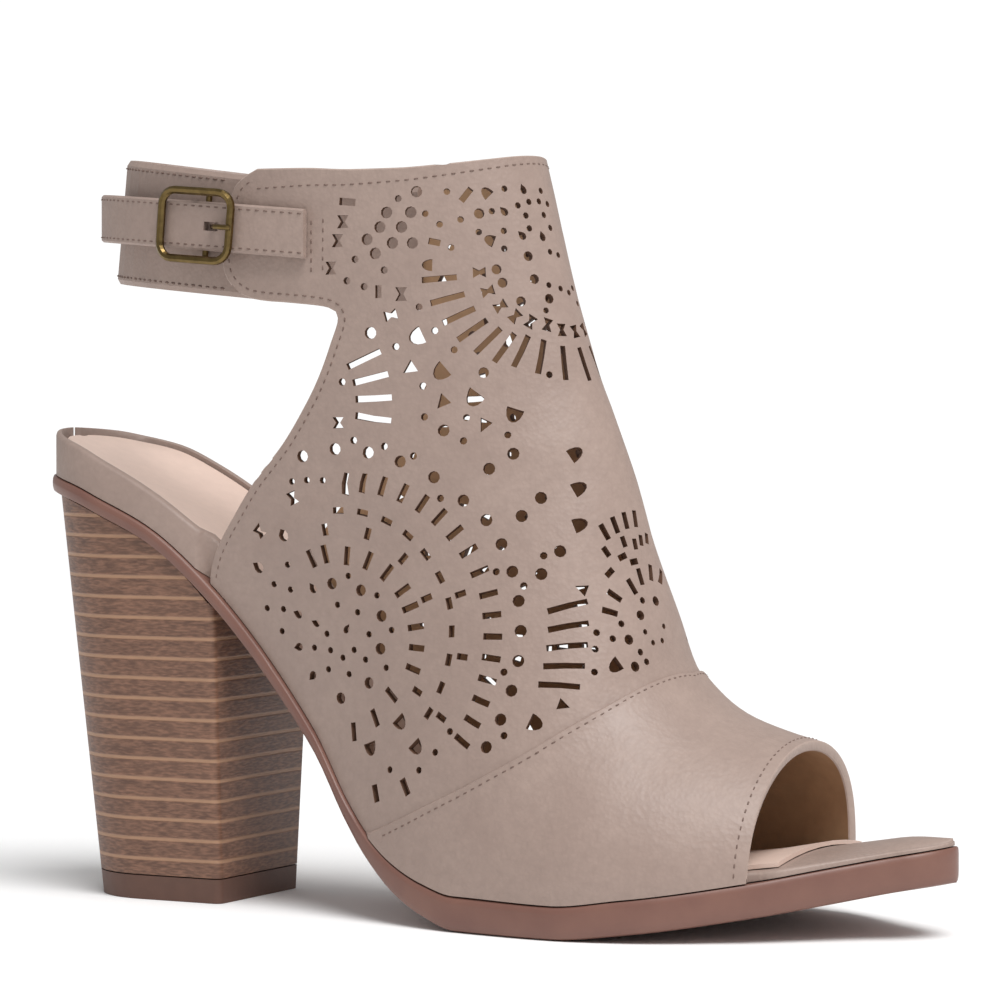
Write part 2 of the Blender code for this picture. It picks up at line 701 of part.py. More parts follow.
def make_upper():
    """Hollow upper: its flat pattern is cut out, laid on the last's form and given its wall."""
    border = upper_border()
    seam_turns = np.linspace(-89.5, 89.5, 45)
    ridge_side = [flat(turn, seam_row(turn)) for turn in seam_turns]
    foot_side = [(x, y - STEP_WIDTH) for x, y in ridge_side]
    places = list(border)
    edges = [(i, (i + 1) % len(border)) for i in range(len(border))]
    for line in (ridge_side, foot_side):
        start = len(places)
        places += line
        edges += [(start + i, start + i + 1) for i in range(len(line) - 1)]
    holes = cut_outlines(border)
    for hole in holes:
        start = len(places)
        places += hole
        edges += [(start + i, start + (i + 1) % len(hole)) for i in range(len(hole))]
    kept = np.array(places)
    lows, highs = kept.min(axis=0), kept.max(axis=0)
    for across_step in np.arange(lows[0], highs[0], UPPER_GRID):
        for along_step in np.arange(lows[1], highs[1], UPPER_GRID):
            spot = np.array((across_step, along_step))
            near = np.min(np.hypot(*(kept - spot).T))
            if near > 0.5 * UPPER_GRID and inside(border, spot):
                places.append(tuple(spot))
    result = delaunay_2d_cdt([Vector(p) for p in places], edges, [], 1, 1e-7)
    flat_points, faces = result[0], result[2]
    mesh = bmesh.new()
    verts = []
    lifts = []
    for place in flat_points:
        turn, row = unflat(place)
        turn = min(max(turn, -90.0), 90.0)
        verts.append(mesh.verts.new(upper_point(row, turn)))
        lifts.append(VAMP_STEP if row < seam_row(turn) - 0.5 * STEP_WIDTH / ROW_PITCH else 0.0)
    boxes = [(np.min(h, axis=0), np.max(h, axis=0), h) for h in holes]
    for face in faces:
        middle = sum((flat_points[i] for i in face), Vector((0, 0))) / len(face)
        if any(
            low[0] < middle.x < high[0] and low[1] < middle.y < high[1] and inside(hole, middle)
            for low, high, hole in boxes
        ):
            continue
        mesh.faces.new([verts[i] for i in face])
    loose = [v for v in mesh.verts if not v.link_faces]
    lifts = [lift for lift, v in zip(lifts, mesh.verts) if v.link_faces]
    bmesh.ops.delete(mesh, geom=loose, context="VERTS")
    mesh.normal_update()
    if sum(f.normal.y * f.calc_center_median().y for f in mesh.faces) < 0:
        bmesh.ops.reverse_faces(mesh, faces=mesh.faces)
    upper = add_object("upper", mesh, (0.34, 0.265, 0.235), 0.6)
    return thicken(upper, lifts)


def thicken(upper, lifts):
    """Gives the upper its wall inwards, then raises the vamp's outer face by its step."""
    wall = upper.modifiers.new("wall", "SOLIDIFY")
    wall.thickness = WALL
    wall.offset = -1.0
    wall.use_quality_normals = True
    bpy.context.view_layer.update()
    graph = bpy.context.evaluated_depsgraph_get()
    solid = bpy.data.meshes.new_from_object(upper.evaluated_get(graph), depsgraph=graph)
    normals = [v.normal.copy() for v in upper.data.vertices]
    for vertex, lift, normal in zip(solid.vertices, lifts, normals):
        vertex.co += normal * lift
    upper.modifiers.clear()
    upper.data = solid
    return upper


def face_slopes(row, turn):
    """How the upper's face runs on a degree of turn and on a row."""
    last = len(UPPER_ROWS) - 1
    left, right = max(turn - 0.5, -90.0), min(turn + 0.5, 90.0)
    low, high = max(row - 0.01, 0.0), min(row + 0.01, last)
    around = (upper_point(row, right) - upper_point(row, left)) / (right - left)
    along = (upper_point(high, turn) - upper_point(low, turn)) / (high - low)
    return around, along


def move(row, turn, step):
    """Row and turn after a small step, given as a vector in the upper's face."""
    around, along = face_slopes(row, turn)
    size_a, shared, size_b = around.dot(around), around.dot(along), along.dot(along)
    part_a, part_b = step.dot(around), step.dot(along)
    spread = size_a * size_b - shared ** 2
    turn += (part_a * size_b - part_b * shared) / spread
    row += (part_b * size_a - part_a * shared) / spread
    return min(max(row, 0.0), len(UPPER_ROWS) - 1.0), min(max(turn, -90.0), 90.0)


def stroll(row, turn, heading, distance):
    """Place reached by going straight over the upper's face, and the direction there."""
    around, along = face_slopes(row, turn)
    normal = around.cross(along).normalized()
    up = along.normalized()
    angle = math.radians(heading)
    direction = up * math.cos(angle) + up.cross(normal) * math.sin(angle)
    count = max(1, round(distance / STROLL_STEP))
    for _ in range(count):
        around, along = face_slopes(row, turn)
        normal = around.cross(along).normalized()
        direction = (direction - normal * direction.dot(normal)).normalized()
        row, turn = move(row, turn, direction * (distance / count))
    return row, turn, direction


def shape_points(shape):
    """Outline of a cut in a unit square, its length along the first axis."""
    if shape == "circle":
        return [(0.5 * math.cos(math.pi * i / 3), 0.5 * math.sin(math.pi * i / 3)) for i in range(6)]
    if shape == "half":
        arc = [math.radians(a) for a in (45, 90, 135)]
        return [(-0.45, -0.5), (-0.45, 0.5)] + [
            (0.95 * math.sin(a) - 0.45, 0.5 * math.cos(a)) for a in arc
        ]
    if shape == "triangle":
        return [(-0.5, -0.5), (0.5, 0.0), (-0.5, 0.5)]
    return [(-0.5, -0.5), (0.5, -0.5), (0.5, 0.5), (-0.5, 0.5)]


def cut_outlines(border):
    """Outlines of the larger perforations in the flat pattern."""
    edge = [Vector(place) for place in border]
    taken = []
    outlines = []
    for line in RING_ROWS:
        medallion, shape, count, first, last, start, end, length, width, mirrored = line
        along, up = MEDALLIONS[medallion]
        row, turn = locate(along * SHOE_LENGTH, up * COLLAR_HEIGHT)
        for i in range(count):
            share = i / max(count - 1, 1)
            heading = first + (last - first) * share
            radius = (start + (end - start) * share) * MM
            there, angle, direction = stroll(row, -turn, heading, radius)
            places = []
            around, forward = face_slopes(there, angle)
            across_way = direction.cross(around.cross(forward).normalized())
            for u, v in shape_points(shape):
                step = direction * (u * length * MM) + across_way * (v * width * MM)
                places.append(move(there, angle, step))
            for side in (1, -1) if mirrored else (1,):
                outline = [flat(side * t, r) for r, t in places]
                middle = Vector(flat(side * angle, there))
                reach = max((Vector(p) - middle).length for p in outline)
                clear = all((middle - m).length > reach + n + CUT_GAP for m, n in taken)
                inner = min((middle - p).length for p in edge) > reach + EDGE_GAP
                below = [seam_row(side * t) + EDGE_GAP / ROW_PITCH < r for r, t in places]
                if clear and inner and all(below) and inside(border, middle):
                    taken.append((middle, reach if shape != "ray" else 0.4 * reach))
                    outlines.append(outline)
    return outlines


def upper_side(x, z, side=-1):
    """Outer half width of the upper at a side-view place; side is -1 lateral, 1 medial."""
    row, turn = locate(x, z)
    return side * upper_point(row, side * turn).y


def tab_back():
    """Place where the band comes out of the upper's tabs."""
    return SHOE_LENGTH * TAB_PLACE


def cuff_levels(x):
    """Lower and upper edge of the band at a place along the shoe."""
    share = (x - tab_back() + CUFF_REACH) / (CUFF_REACH + CUFF_LAP)
    back, front = CUFF_RISE
    high = COLLAR_HEIGHT + back + (front - back) * min(share * 1.25, 1.0)
    low = COLLAR_HEIGHT + back + (front - back) * share - CUFF_WIDTH
    return low, high


def cuff_plan(level):
    """Plan points of the band's outer face at a height share, from its lateral front end."""
    centre = tab_back()
    reach = CUFF_REACH + CUFF_LEAN * (1 - level)
    plan = []
    for side in (-1, 1):
        half_plan = []
        for x in np.linspace(centre + CUFF_LAP, centre, 4):
            low, high = cuff_levels(x)
            half = upper_side(x, low + (high - low) * level, side) - WALL - FIT_GAP
            half_plan.append(Vector((float(x), side * half)))
        for angle in range(9, 91, 9):
            turn = math.radians(angle)
            x = centre - reach * math.sin(turn)
            half_plan.append(Vector((x, side * half * math.cos(turn))))
        plan.append(half_plan)
    return plan[0] + list(reversed(plan[1][:-1]))


def offset_path(points, distance):
    """Plan path moved to its right-hand side by a distance."""
    moved = []
    for i, point in enumerate(points):
        run = points[min(i + 1, len(points) - 1)] - points[max(i - 1, 0)]
        run.normalize()
        moved.append(point + Vector((run.y, -run.x)) * distance)
    return moved


def make_back_cuff():
    """Band round the back of the ankle, its ends inside the upper's tabs."""
    levels = (0.0, 0.04, 0.5, 0.96, 1.0)
    outer = {level: cuff_plan(level) for level in levels}
    inner = {level: offset_path(outer[level], CUFF_THICKNESS) for level in levels}
    count = len(outer[0.0])
    rings = []
    for i in range(count):
        low, high = cuff_levels(outer[0.5][i].x)
        ring = []
        for level in levels[1:-1]:
            spot = outer[level][i]
            ring.append(Vector((spot.x, spot.y, low + (high - low) * level)))
        for level in (1.0,):
            for share in (0.3, 0.7):
                spot = outer[level][i].lerp(inner[level][i], share)
                ring.append(Vector((spot.x, spot.y, high)))
        for level in reversed(levels[1:-1]):
            spot = inner[level][i]
            ring.append(Vector((spot.x, spot.y, low + (high - low) * level)))
        for share in (0.7, 0.3):
            spot = outer[0.0][i].lerp(inner[0.0][i], share)
            ring.append(Vector((spot.x, spot.y, low)))
        rings.append(ring)
    return loft("back_cuff", rings, (0.34, 0.265, 0.235), 0.6)


def strap_line():
    """Places of the strap's inner face, from its sewn end to its tip."""
    centre = tab_back()
    reach = CUFF_REACH + CUFF_LEAN * 0.4
    half = -cuff_plan(0.6)[3].y
    front, tip = centre + STRAP_LAP, centre - STRAP_REACH
    spots = []
    for x in np.linspace(front, tip, 25):
        share = (front - x) / (front - tip)
        height = COLLAR_HEIGHT - STRAP_DROP[0] + (STRAP_DROP[0] - STRAP_DROP[1]) * share
        if x > centre:
            y = upper_side(float(x), height)
        else:
            y = half * math.sqrt(max(0.0, 1 - ((centre - x) / reach) ** 2)) + WALL + FIT_GAP
        past = max(0.0, (centre - BUCKLE_BACK - x) / (STRAP_REACH - BUCKLE_BACK))
        lift = FIT_GAP + STRAP_LIFT * math.sin(math.pi * min(share * 1.6, 1.0) / 2)
        spots.append(Vector((float(x), -y - lift - TIP_LIFT * past ** 1.5, height)))
    return spots


def strap_spot(along, out, up):
    """Place by the buckle: along the strap to its tip, out from its inner face, and up."""
    line = STRAP_LINE
    buckle = tab_back() - BUCKLE_BACK
    start = next(i for i, spot in enumerate(line) if spot.x < buckle)
    lengths = [0.0]
    for first, second in zip(line, line[1:]):
        lengths.append(lengths[-1] + (second - first).length)
    share = (line[start - 1].x - buckle) / (line[start - 1].x - line[start].x)
    here = lengths[start - 1] + share * (lengths[start] - lengths[start - 1]) + along
    i = min(max(int(np.searchsorted(lengths, here)), 1), len(line) - 1)
    t = (here - lengths[i - 1]) / (lengths[i] - lengths[i - 1])
    before, after = line_run(i - 1), line_run(i)
    run = before.lerp(after, t).normalized()
    outward = run.cross(Vector((0, 0, 1))).normalized()
    if outward.y > 0:
        outward = -outward
    rise = run.cross(outward)
    if rise.z < 0:
        rise = -rise
    return line[i - 1].lerp(line[i], t) + outward * out + rise * up


def line_run(i):
    """Direction of the strap's line at one of its points."""
    line = STRAP_LINE
    return (line[min(i + 1, len(line) - 1)] - line[max(i - 1, 0)]).normalized()


def make_ankle_strap():
    """Strap from the upper's side back through the buckle, with a free tip and a prong hole."""
    rings = []
    half = 0.5 * STRAP_WIDTH
    bevel = 0.25 * STRAP_THICKNESS
    for i, spot in enumerate(STRAP_LINE):
        run = line_run(i)
        outward = run.cross(Vector((0, 0, 1))).normalized()
        if outward.y > 0:
            outward = -outward
        ring = []
        for out, up in (
            (bevel, half), (STRAP_THICKNESS - bevel, half), (STRAP_THICKNESS, half - bevel),
            (STRAP_THICKNESS, bevel - half), (STRAP_THICKNESS - bevel, -half), (bevel, -half),
            (0, bevel - half), (0, half - bevel),
        ):
            ring.append(spot + outward * out + Vector((0, 0, up)))
        rings.append(ring)
    strap = loft("ankle_strap", rings, (0.34, 0.265, 0.235), 0.6)
    length, width = PRONG_HOLE
    box = []
    for along in (-PRONG_HOLE_AT - length / 2, -PRONG_HOLE_AT + length / 2):
        box.append([
            strap_spot(along, out, up)
            for out, up in (
                (-STRAP_THICKNESS, -width / 2), (-STRAP_THICKNESS, width / 2),
                (2 * STRAP_THICKNESS, width / 2), (2 * STRAP_THICKNESS, -width / 2),
            )
        ])
    cutter = loft("prong_hole_cutter", box, (0.5, 0.5, 0.5), 0.5)
    set_aside(cutter)
    combine(strap, cutter, "DIFFERENCE")
    return strap


def set_aside(cutter):
    """Keeps a cutter out of the model."""
    COLLECTION.objects.unlink(cutter)
    CUTTERS.objects.link(cutter)
    cutter.hide_render = True
    cutter.display_type = "WIRE"


def combine(thing, other, operation):
    cut = thing.modifiers.new(operation.lower(), "BOOLEAN")
    cut.operation = operation
    cut.solver = "EXACT"
    cut.object = other


def make_wire(name, points, wire, cyclic):
    """Bent wire as a closed mesh."""
    curve = bpy.data.curves.new(name, "CURVE")
    curve.dimensions = "3D"
    curve.bevel_depth = wire / 2
    curve.bevel_resolution = 2
    curve.use_fill_caps = not cyclic
    spline = curve.splines.new("POLY")
    spline.points.add(len(points) - 1)
    spline.use_cyclic_u = cyclic
    for target, point in zip(spline.points, points):
        target.co = (*point, 1)
    holder = bpy.data.objects.new(name + "_curve", curve)
    COLLECTION.objects.link(holder)
    bpy.context.view_layer.update()
    graph = bpy.context.evaluated_depsgraph_get()
    data = bpy.data.meshes.new_from_object(holder.evaluated_get(graph), depsgraph=graph)
    bpy.data.objects.remove(holder, do_unlink=True)
    mesh = bmesh.new()
    mesh.from_mesh(data)
    bmesh.ops.remove_doubles(mesh, verts=mesh.verts, dist=1e-6)
    bmesh.ops.recalc_face_normals(mesh, faces=mesh.faces)
    return add_object(name, mesh, (0.20, 0.15, 0.08), 0.35, 1.0)


def make_buckle_frame():
    """Rounded buckle over the strap, with its centre bar under the strap."""
    out = STRAP_THICKNESS + FIT_GAP + BUCKLE_WIRE / 2
    half_length = (BUCKLE_LENGTH - BUCKLE_WIRE) / 2
    half_height = (BUCKLE_HEIGHT - BUCKLE_WIRE) / 2
    bend = BUCKLE_CORNER - BUCKLE_WIRE / 2
    ring = []
    for quarter, (x, y) in enumerate(((1, 1), (-1, 1), (-1, -1), (1, -1))):
        for step in range(6):
            angle = math.radians(90 * quarter + 18 * step)
            along = x * (half_length - bend) + bend * math.cos(angle)
            up = y * (half_height - bend) + bend * math.sin(angle)
            ring.append(strap_spot(along, out, up))
    frame = make_wire("buckle_frame", ring, BUCKLE_WIRE, True)
    low = bar_depth()
    bar = [
        strap_spot(0, out, half_height),
        strap_spot(0, low + BAR_WIRE / 2, half_height),
        strap_spot(0, low, half_height - BAR_WIRE / 2),
        strap_spot(0, low, BAR_WIRE / 2 - half_height),
        strap_spot(0, low + BAR_WIRE / 2, -half_height),
        strap_spot(0, out, -half_height),
    ]
    centre = make_wire("centre_bar", bar, BAR_WIRE, False)
    set_aside(centre)
    combine(frame, centre, "UNION")
    return frame


def bar_depth():
    """Level of the centre bar's middle, measured out from the strap's inner face."""
    return -(FIT_GAP + LOOP_THICKNESS + FIT_GAP + BAR_WIRE / 2)


def make_buckle_loop():
    """Leather loop sewn to the band, which humps over the centre bar."""
    centre = bar_depth()
    bend = BAR_WIRE / 2 + FIT_GAP + LOOP_THICKNESS / 2
    foot = centre - BAR_WIRE / 2 + LOOP_THICKNESS / 2
    path = [(-LOOP_REACH, foot), (-1.35 * bend, foot + 0.1 * bend)]
    for angle in (165, 138, 112, 90, 68, 42, 15):
        turn = math.radians(angle)
        path.append((bend * math.cos(turn), centre + bend * math.sin(turn)))
    path += [(1.35 * bend, foot + 0.1 * bend), (LOOP_REACH, foot)]
    rings = []
    for i, (along, out) in enumerate(path):
        run = Vector(path[min(i + 1, len(path) - 1)]) - Vector(path[max(i - 1, 0)])
        run.normalize()
        side = Vector((-run.y, run.x)) * LOOP_THICKNESS / 2
        ring = []
        for sign, up in ((1, 0.5), (1, -0.5), (-1, -0.5), (-1, 0.5)):
            ring.append(strap_spot(along + sign * side.x, out + sign * side.y, up * LOOP_WIDTH))
        rings.append(ring)
    return loft("buckle_loop", rings, (0.34, 0.265, 0.235), 0.6)


def make_buckle_prong():
    """Pin from the centre bar through the strap's hole onto the front of the frame."""
    over = STRAP_THICKNESS + 2 * FIT_GAP + BUCKLE_WIRE + PRONG_WIRE / 2
    front = -(BUCKLE_LENGTH - BUCKLE_WIRE) / 2
    under = -FIT_GAP - PRONG_WIRE / 2
    path = (
        (-2.4 * MM, under), (-2.9 * MM, under + 0.25 * MM), (-4.9 * MM, STRAP_THICKNESS + 0.7 * MM),
        (-6.6 * MM, over - 0.5 * MM), (-8.0 * MM, over), (front - 0.4 * MM, over),
        (front - 1.1 * MM, over - 0.25 * MM),
    )
    points = [strap_spot(along, out, 0) for along, out in path]
    return make_wire("buckle_prong", points, PRONG_WIRE, False)


def clear_scene():
    for thing in list(bpy.data.objects):
        bpy.data.objects.remove(thing, do_unlink=True)


clear_scene()
COLLECTION = bpy.data.collections.new("block_heel_sandal")
CUTTERS = bpy.data.collections.new("cutters")
bpy.context.scene.collection.children.link(COLLECTION)
bpy.context.scene.collection.children.link(CUTTERS)
SEAM_TURNS, SEAM_PLACES = seam_places()
STRAP_LINE = strap_line()
make_outsole()
make_footbed()
make_sock_lining()
make_heel_block()
make_toplift()
make_upper()
make_back_cuff()
make_ankle_strap()
make_buckle_frame()
make_buckle_prong()
make_buckle_loop()
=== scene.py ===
"""Finish and setting of a perforated open-back sandal on a stacked block heel.

Lengths are metres. Shoe places are measured from the heel's back, and every piece is moved to
the frame's origin when its mesh is made.
"""

import math

import bpy
import numpy as np
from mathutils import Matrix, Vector
from mathutils.geometry import delaunay_2d_cdt


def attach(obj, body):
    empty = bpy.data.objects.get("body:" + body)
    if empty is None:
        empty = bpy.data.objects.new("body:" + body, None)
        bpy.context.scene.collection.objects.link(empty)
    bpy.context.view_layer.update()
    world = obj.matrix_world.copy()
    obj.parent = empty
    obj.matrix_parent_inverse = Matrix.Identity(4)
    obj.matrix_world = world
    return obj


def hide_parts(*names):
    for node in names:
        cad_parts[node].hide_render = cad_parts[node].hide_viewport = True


bl_info = {
    "name": "Block heel sandal finish",
    "version": (1, 0, 0),
    "blender": (4, 5, 0),
    "location": "View3D > Sidebar > Sandal",
    "description": "Leather, stitching, stacked heel, buckle and studio for a block heel sandal",
    "category": "Object",
}

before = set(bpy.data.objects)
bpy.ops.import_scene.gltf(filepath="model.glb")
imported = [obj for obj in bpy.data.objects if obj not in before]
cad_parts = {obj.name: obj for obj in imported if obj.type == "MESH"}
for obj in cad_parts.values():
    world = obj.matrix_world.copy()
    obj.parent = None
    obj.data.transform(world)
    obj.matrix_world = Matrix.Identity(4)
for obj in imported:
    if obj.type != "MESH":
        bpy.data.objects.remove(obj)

MM = 0.001

# Main sizes
SHOE_LENGTH = 236 * MM
BALL_WIDTH = 85 * MM
HEEL_RISE = 99.7 * MM
COLLAR_HEIGHT = 178 * MM
ANKLE_WIDTH = 63 * MM
FIT_GAP = 0.3 * MM

# Sole
SOLE_EDGE = 7.6 * MM
SOLE_ROUND = 1.3 * MM
HEEL_ROUND = 27 * MM
TOE_ROUND = 9 * MM
NOSE_WIDTH = 1.0 * MM
SOLE_STEP = 2.4 * MM
WELD = 0.001 * MM

# Footbed and sock
RIM_HEIGHT = 10.6 * MM
RIM_INSET = 0.9 * MM
RIM_WIDTH = 2.4 * MM
RIM_PROFILE = ((0.06, 0.7), (0.2, 0.3), (0.4, 0.08), (0.65, 0.0), (0.9, 0.05), (1.05, 0.3))
SEAT_CUP = 3.4 * MM
TOE_CROWN = 2.2 * MM
SOCK_DROP = 1.4 * MM
SOCK_THICKNESS = 1.0 * MM
SOCK_FRONT = 0.862

# Heel
HEEL_TOP = (2.4 * MM, 56.9 * MM)
HEEL_FOOT = (14.4 * MM, 56.5 * MM)
HEEL_TOP_HALF = 26.0 * MM
HEEL_FOOT_HALF = 18.6 * MM
HEEL_FOOT_SHIFT = -2.0 * MM
HEEL_BACK_SHARE = 0.46
HEEL_CORNER = 2.0 * MM
TOPLIFT = 5.8 * MM

# Upper
FEATHER_INSET = 1.3 * MM
WALL = 1.7 * MM
VAMP_STEP = 0.8 * MM
SEAM_PROFILE = ((0.0, 0.0), (0.12 * MM, 0.55), (0.42 * MM, 1.0))
EDGE_BULGE = 0.35 * MM
EDGE_PROFILE = ((0.12, 0.75), (0.35, 1.0), (0.65, 1.0), (0.88, 0.75))
SOLE_TURN = 89.9
# Kinds of faces of the upper; FOLD faces, the rounded free edges, carry the painted highlight
FACE, LINING, CUT, FOLD = range(4)
GIRTH_RADIUS = 38 * MM
ROW_PITCH = 13 * MM
TAB_PLACE = 0.2754
TOE_OPENING = 0.839
TOE_SKEW = 0.002

# Band, strap and buckle
CUFF_THICKNESS = 2.4 * MM
CUFF_REACH = 44.3 * MM
CUFF_LAP = 22.0 * MM
CUFF_RISE = (2.7 * MM, -4.0 * MM)
CUFF_WIDTH = 30.3 * MM
CUFF_LEAN = 3.3 * MM
STRAP_WIDTH = 11.6 * MM
STRAP_THICKNESS = 2.0 * MM
STRAP_LAP = 21.5 * MM
STRAP_REACH = 43.0 * MM
STRAP_DROP = (17.7 * MM, 12.0 * MM)
STRAP_LIFT = 1.2 * MM
TIP_LIFT = 2.6 * MM
TIP_HOLLOW = 0.5 * MM
PRONG_HOLE = (3.8 * MM, 2.1 * MM)
PRONG_HOLE_AT = 3.8 * MM
BUCKLE_BACK = 6.5 * MM
BUCKLE_LENGTH = 21.2 * MM
BUCKLE_HEIGHT = 18.2 * MM
BUCKLE_WIRE = 2.0 * MM
BUCKLE_CORNER = 4.6 * MM
BAR_WIRE = 1.6 * MM
PRONG_WIRE = 1.3 * MM
LOOP_THICKNESS = 0.9 * MM
LOOP_WIDTH = 7.5 * MM
LOOP_REACH = 4.2 * MM

# Sole: shares of SHOE_LENGTH, BALL_WIDTH, HEEL_RISE and SOLE_EDGE
SOLE_COLUMNS = ("along", "lateral", "medial", "rise", "edge")
SOLE_ROWS = (
    (0.000, 0.318, 0.318, 1.000, 0.53),
    (0.042, 0.318, 0.318, 0.985, 0.53),
    (0.076, 0.318, 0.316, 0.966, 0.54),
    (0.110, 0.318, 0.312, 0.934, 0.54),
    (0.173, 0.316, 0.300, 0.861, 0.55),
    (0.239, 0.298, 0.272, 0.725, 0.60),
    (0.297, 0.276, 0.246, 0.563, 0.64),
    (0.355, 0.286, 0.238, 0.391, 0.62),
    (0.404, 0.330, 0.256, 0.223, 0.66),
    (0.432, 0.363, 0.285, 0.149, 0.72),
    (0.474, 0.408, 0.345, 0.069, 0.88),
    (0.512, 0.442, 0.395, 0.026, 0.98),
    (0.553, 0.470, 0.440, 0.000, 1.05),
    (0.661, 0.500, 0.497, 0.000, 1.00),
    (0.730, 0.468, 0.490, 0.016, 1.04),
    (0.838, 0.328, 0.415, 0.055, 1.04),
    (0.901, 0.204, 0.308, 0.084, 1.06),
    (0.957, 0.098, 0.190, 0.111, 1.05),
    (1.000, 0.055, 0.132, 0.128, 1.06),
)

# Footbed: height of its edge as a share of RIM_HEIGHT, hollow of its top as a share of SEAT_CUP,
# swell of its top as a share of TOE_CROWN, recess for the sock, and how far it lies in the upper
BED_COLUMNS = ("along", "rim", "cup", "crown", "recess", "inside")
BED_ROWS = (
    (0.000, 1.06, 0.00, 0.0, 1.0, 0.0),
    (0.022, 1.04, 0.10, 0.0, 1.0, 0.0),
    (0.045, 0.98, 0.35, 0.0, 1.0, 0.0),
    (0.085, 0.93, 0.80, 0.0, 1.0, 0.0),
    (0.120, 0.89, 1.00, 0.0, 1.0, 0.0),
    (0.170, 0.84, 0.90, 0.0, 1.0, 0.0),
    (0.210, 0.90, 0.60, 0.0, 1.0, 0.0),
    (0.222, 0.96, 0.50, 0.0, 1.0, 0.0),
    (0.234, 1.02, 0.40, 0.0, 1.0, 1.0),
    (0.250, 1.04, 0.30, 0.0, 1.0, 1.0),
    (0.300, 0.85, 0.20, 0.0, 1.0, 1.0),
    (0.340, 0.65, 0.10, 0.0, 0.8, 1.0),
    (0.420, 0.52, 0.00, 0.1, 0.5, 1.0),
    (0.460, 0.38, 0.00, 0.2, 0.3, 1.0),
    (0.520, 0.32, 0.00, 0.3, 0.2, 1.0),
    (0.800, 0.28, 0.00, 0.6, 0.1, 1.0),
    (0.845, 0.24, 0.00, 0.8, 0.0, 1.0),
    (0.868, 0.20, 0.00, 1.0, 0.0, 0.0),
    (0.940, 0.15, 0.00, 1.0, 0.0, 0.0),
    (1.000, 0.12, 0.00, 0.3, 0.0, 0.0),
)

# Upper: each row is a section from its ends, on the sole or behind it, to its ridge.
# Shares: along of SHOE_LENGTH, ridge_up of COLLAR_HEIGHT, lift (of the ends above the sole) of
# COLLAR_HEIGHT, ridge_side of BALL_WIDTH, spread (added half width at the ends) of ANKLE_WIDTH.
UPPER_COLUMNS = (
    "ridge_along", "ridge_up", "ridge_side", "end_along", "lift", "spread",
    "tuck", "lateral_round", "medial_round",
)
UPPER_ROWS = (
    (0.865, 0.229, 0.094, 0.865, 0.000, 0.00, 0.00, 1.8, 3.2),
    (0.803, 0.248, 0.094, 0.793, 0.000, 0.00, 0.02, 1.8, 3.0),
    (0.755, 0.272, 0.084, 0.724, 0.000, 0.00, 0.03, 1.8, 2.8),
    (0.727, 0.303, 0.073, 0.657, 0.000, 0.00, 0.04, 1.8, 2.5),
    (0.709, 0.340, 0.064, 0.594, 0.000, 0.00, 0.05, 1.8, 2.2),
    (0.696, 0.408, 0.053, 0.530, 0.000, 0.00, 0.08, 1.9, 2.1),
    (0.678, 0.486, 0.041, 0.462, 0.000, 0.00, 0.16, 2.0, 2.1),
    (0.660, 0.578, 0.030, 0.394, 0.000, 0.00, 0.27, 2.1, 2.1),
    (0.639, 0.656, 0.018, 0.318, 0.000, 0.00, 0.34, 2.2, 2.2),
    (0.613, 0.753, 0.008, 0.237, 0.000, 0.00, 0.26, 2.4, 2.4),
    (0.589, 0.860, 0.000, 0.246, 0.190, 0.07, 0.10, 2.7, 2.7),
    (0.570, 0.955, 0.000, 0.252, 0.395, 0.11, 0.01, 3.0, 3.0),
    (0.554, 1.034, 0.000, 0.252, 0.620, 0.11, 0.00, 3.0, 3.0),
)

# Back opening and tab, from the sole up, in the side view
BACK_ROWS = (
    (0.236, 0.434),
    (0.248, 0.478),
    (0.275, 0.530),
    (0.300, 0.573),
    (0.335, 0.623),
    (0.361, 0.672),
    (0.378, 0.712),
    (0.392, 0.757),
    (0.400, 0.790),
    (0.389, 0.805),
    (0.348, 0.812),
    (0.320, 0.815),
    (0.299, 0.820),
    (0.285, 0.830),
    (0.273, 0.850),
    (0.270, 0.880),
    (0.275, 0.920),
    (0.281, 0.955),
    (0.288, 0.970),
    (0.299, 0.980),
)

# Collar from the tab to the front, in the side view
COLLAR_ROWS = (
    (0.285, 0.987),
    (0.363, 0.986),
    (0.410, 0.983),
    (0.457, 0.984),
    (0.500, 0.989),
    (0.535, 0.996),
    (0.561, 1.004),
)

# Edge of the vamp from the sole to the ridge, in the side view
SEAM_ROWS = (
    (0.428, 0.104),
    (0.504, 0.153),
    (0.563, 0.190),
    (0.615, 0.228),
    (0.648, 0.258),
    (0.683, 0.292),
    (0.706, 0.318),
    (0.716, 0.325),
)

HOLE_GAP = 0.5 * MM
BORDER_GAP = 2.2 * MM
SEAM_GAP = 3.0 * MM
PATTERN_GRID = 3.2 * MM

# Soft troughs (negative) and ridges, each a line in the side view: side (-1 lateral, 1 medial),
# first and last place, half width and height, all in millimetres
CREASE_COLUMNS = ("side", "first_x", "first_z", "last_x", "last_z", "width", "height")
CREASE_ROWS = (
    (-1, 112, 118, 158, 128, 5.0, -0.45),
    (-1, 118, 108, 160, 112, 4.0, 0.35),
    (-1, 84, 96, 118, 84, 6.0, -0.35),
    (-1, 150, 48, 182, 34, 5.0, -0.30),
    (1, 110, 120, 156, 128, 5.0, -0.45),
    (1, 96, 92, 126, 80, 6.0, -0.35),
)
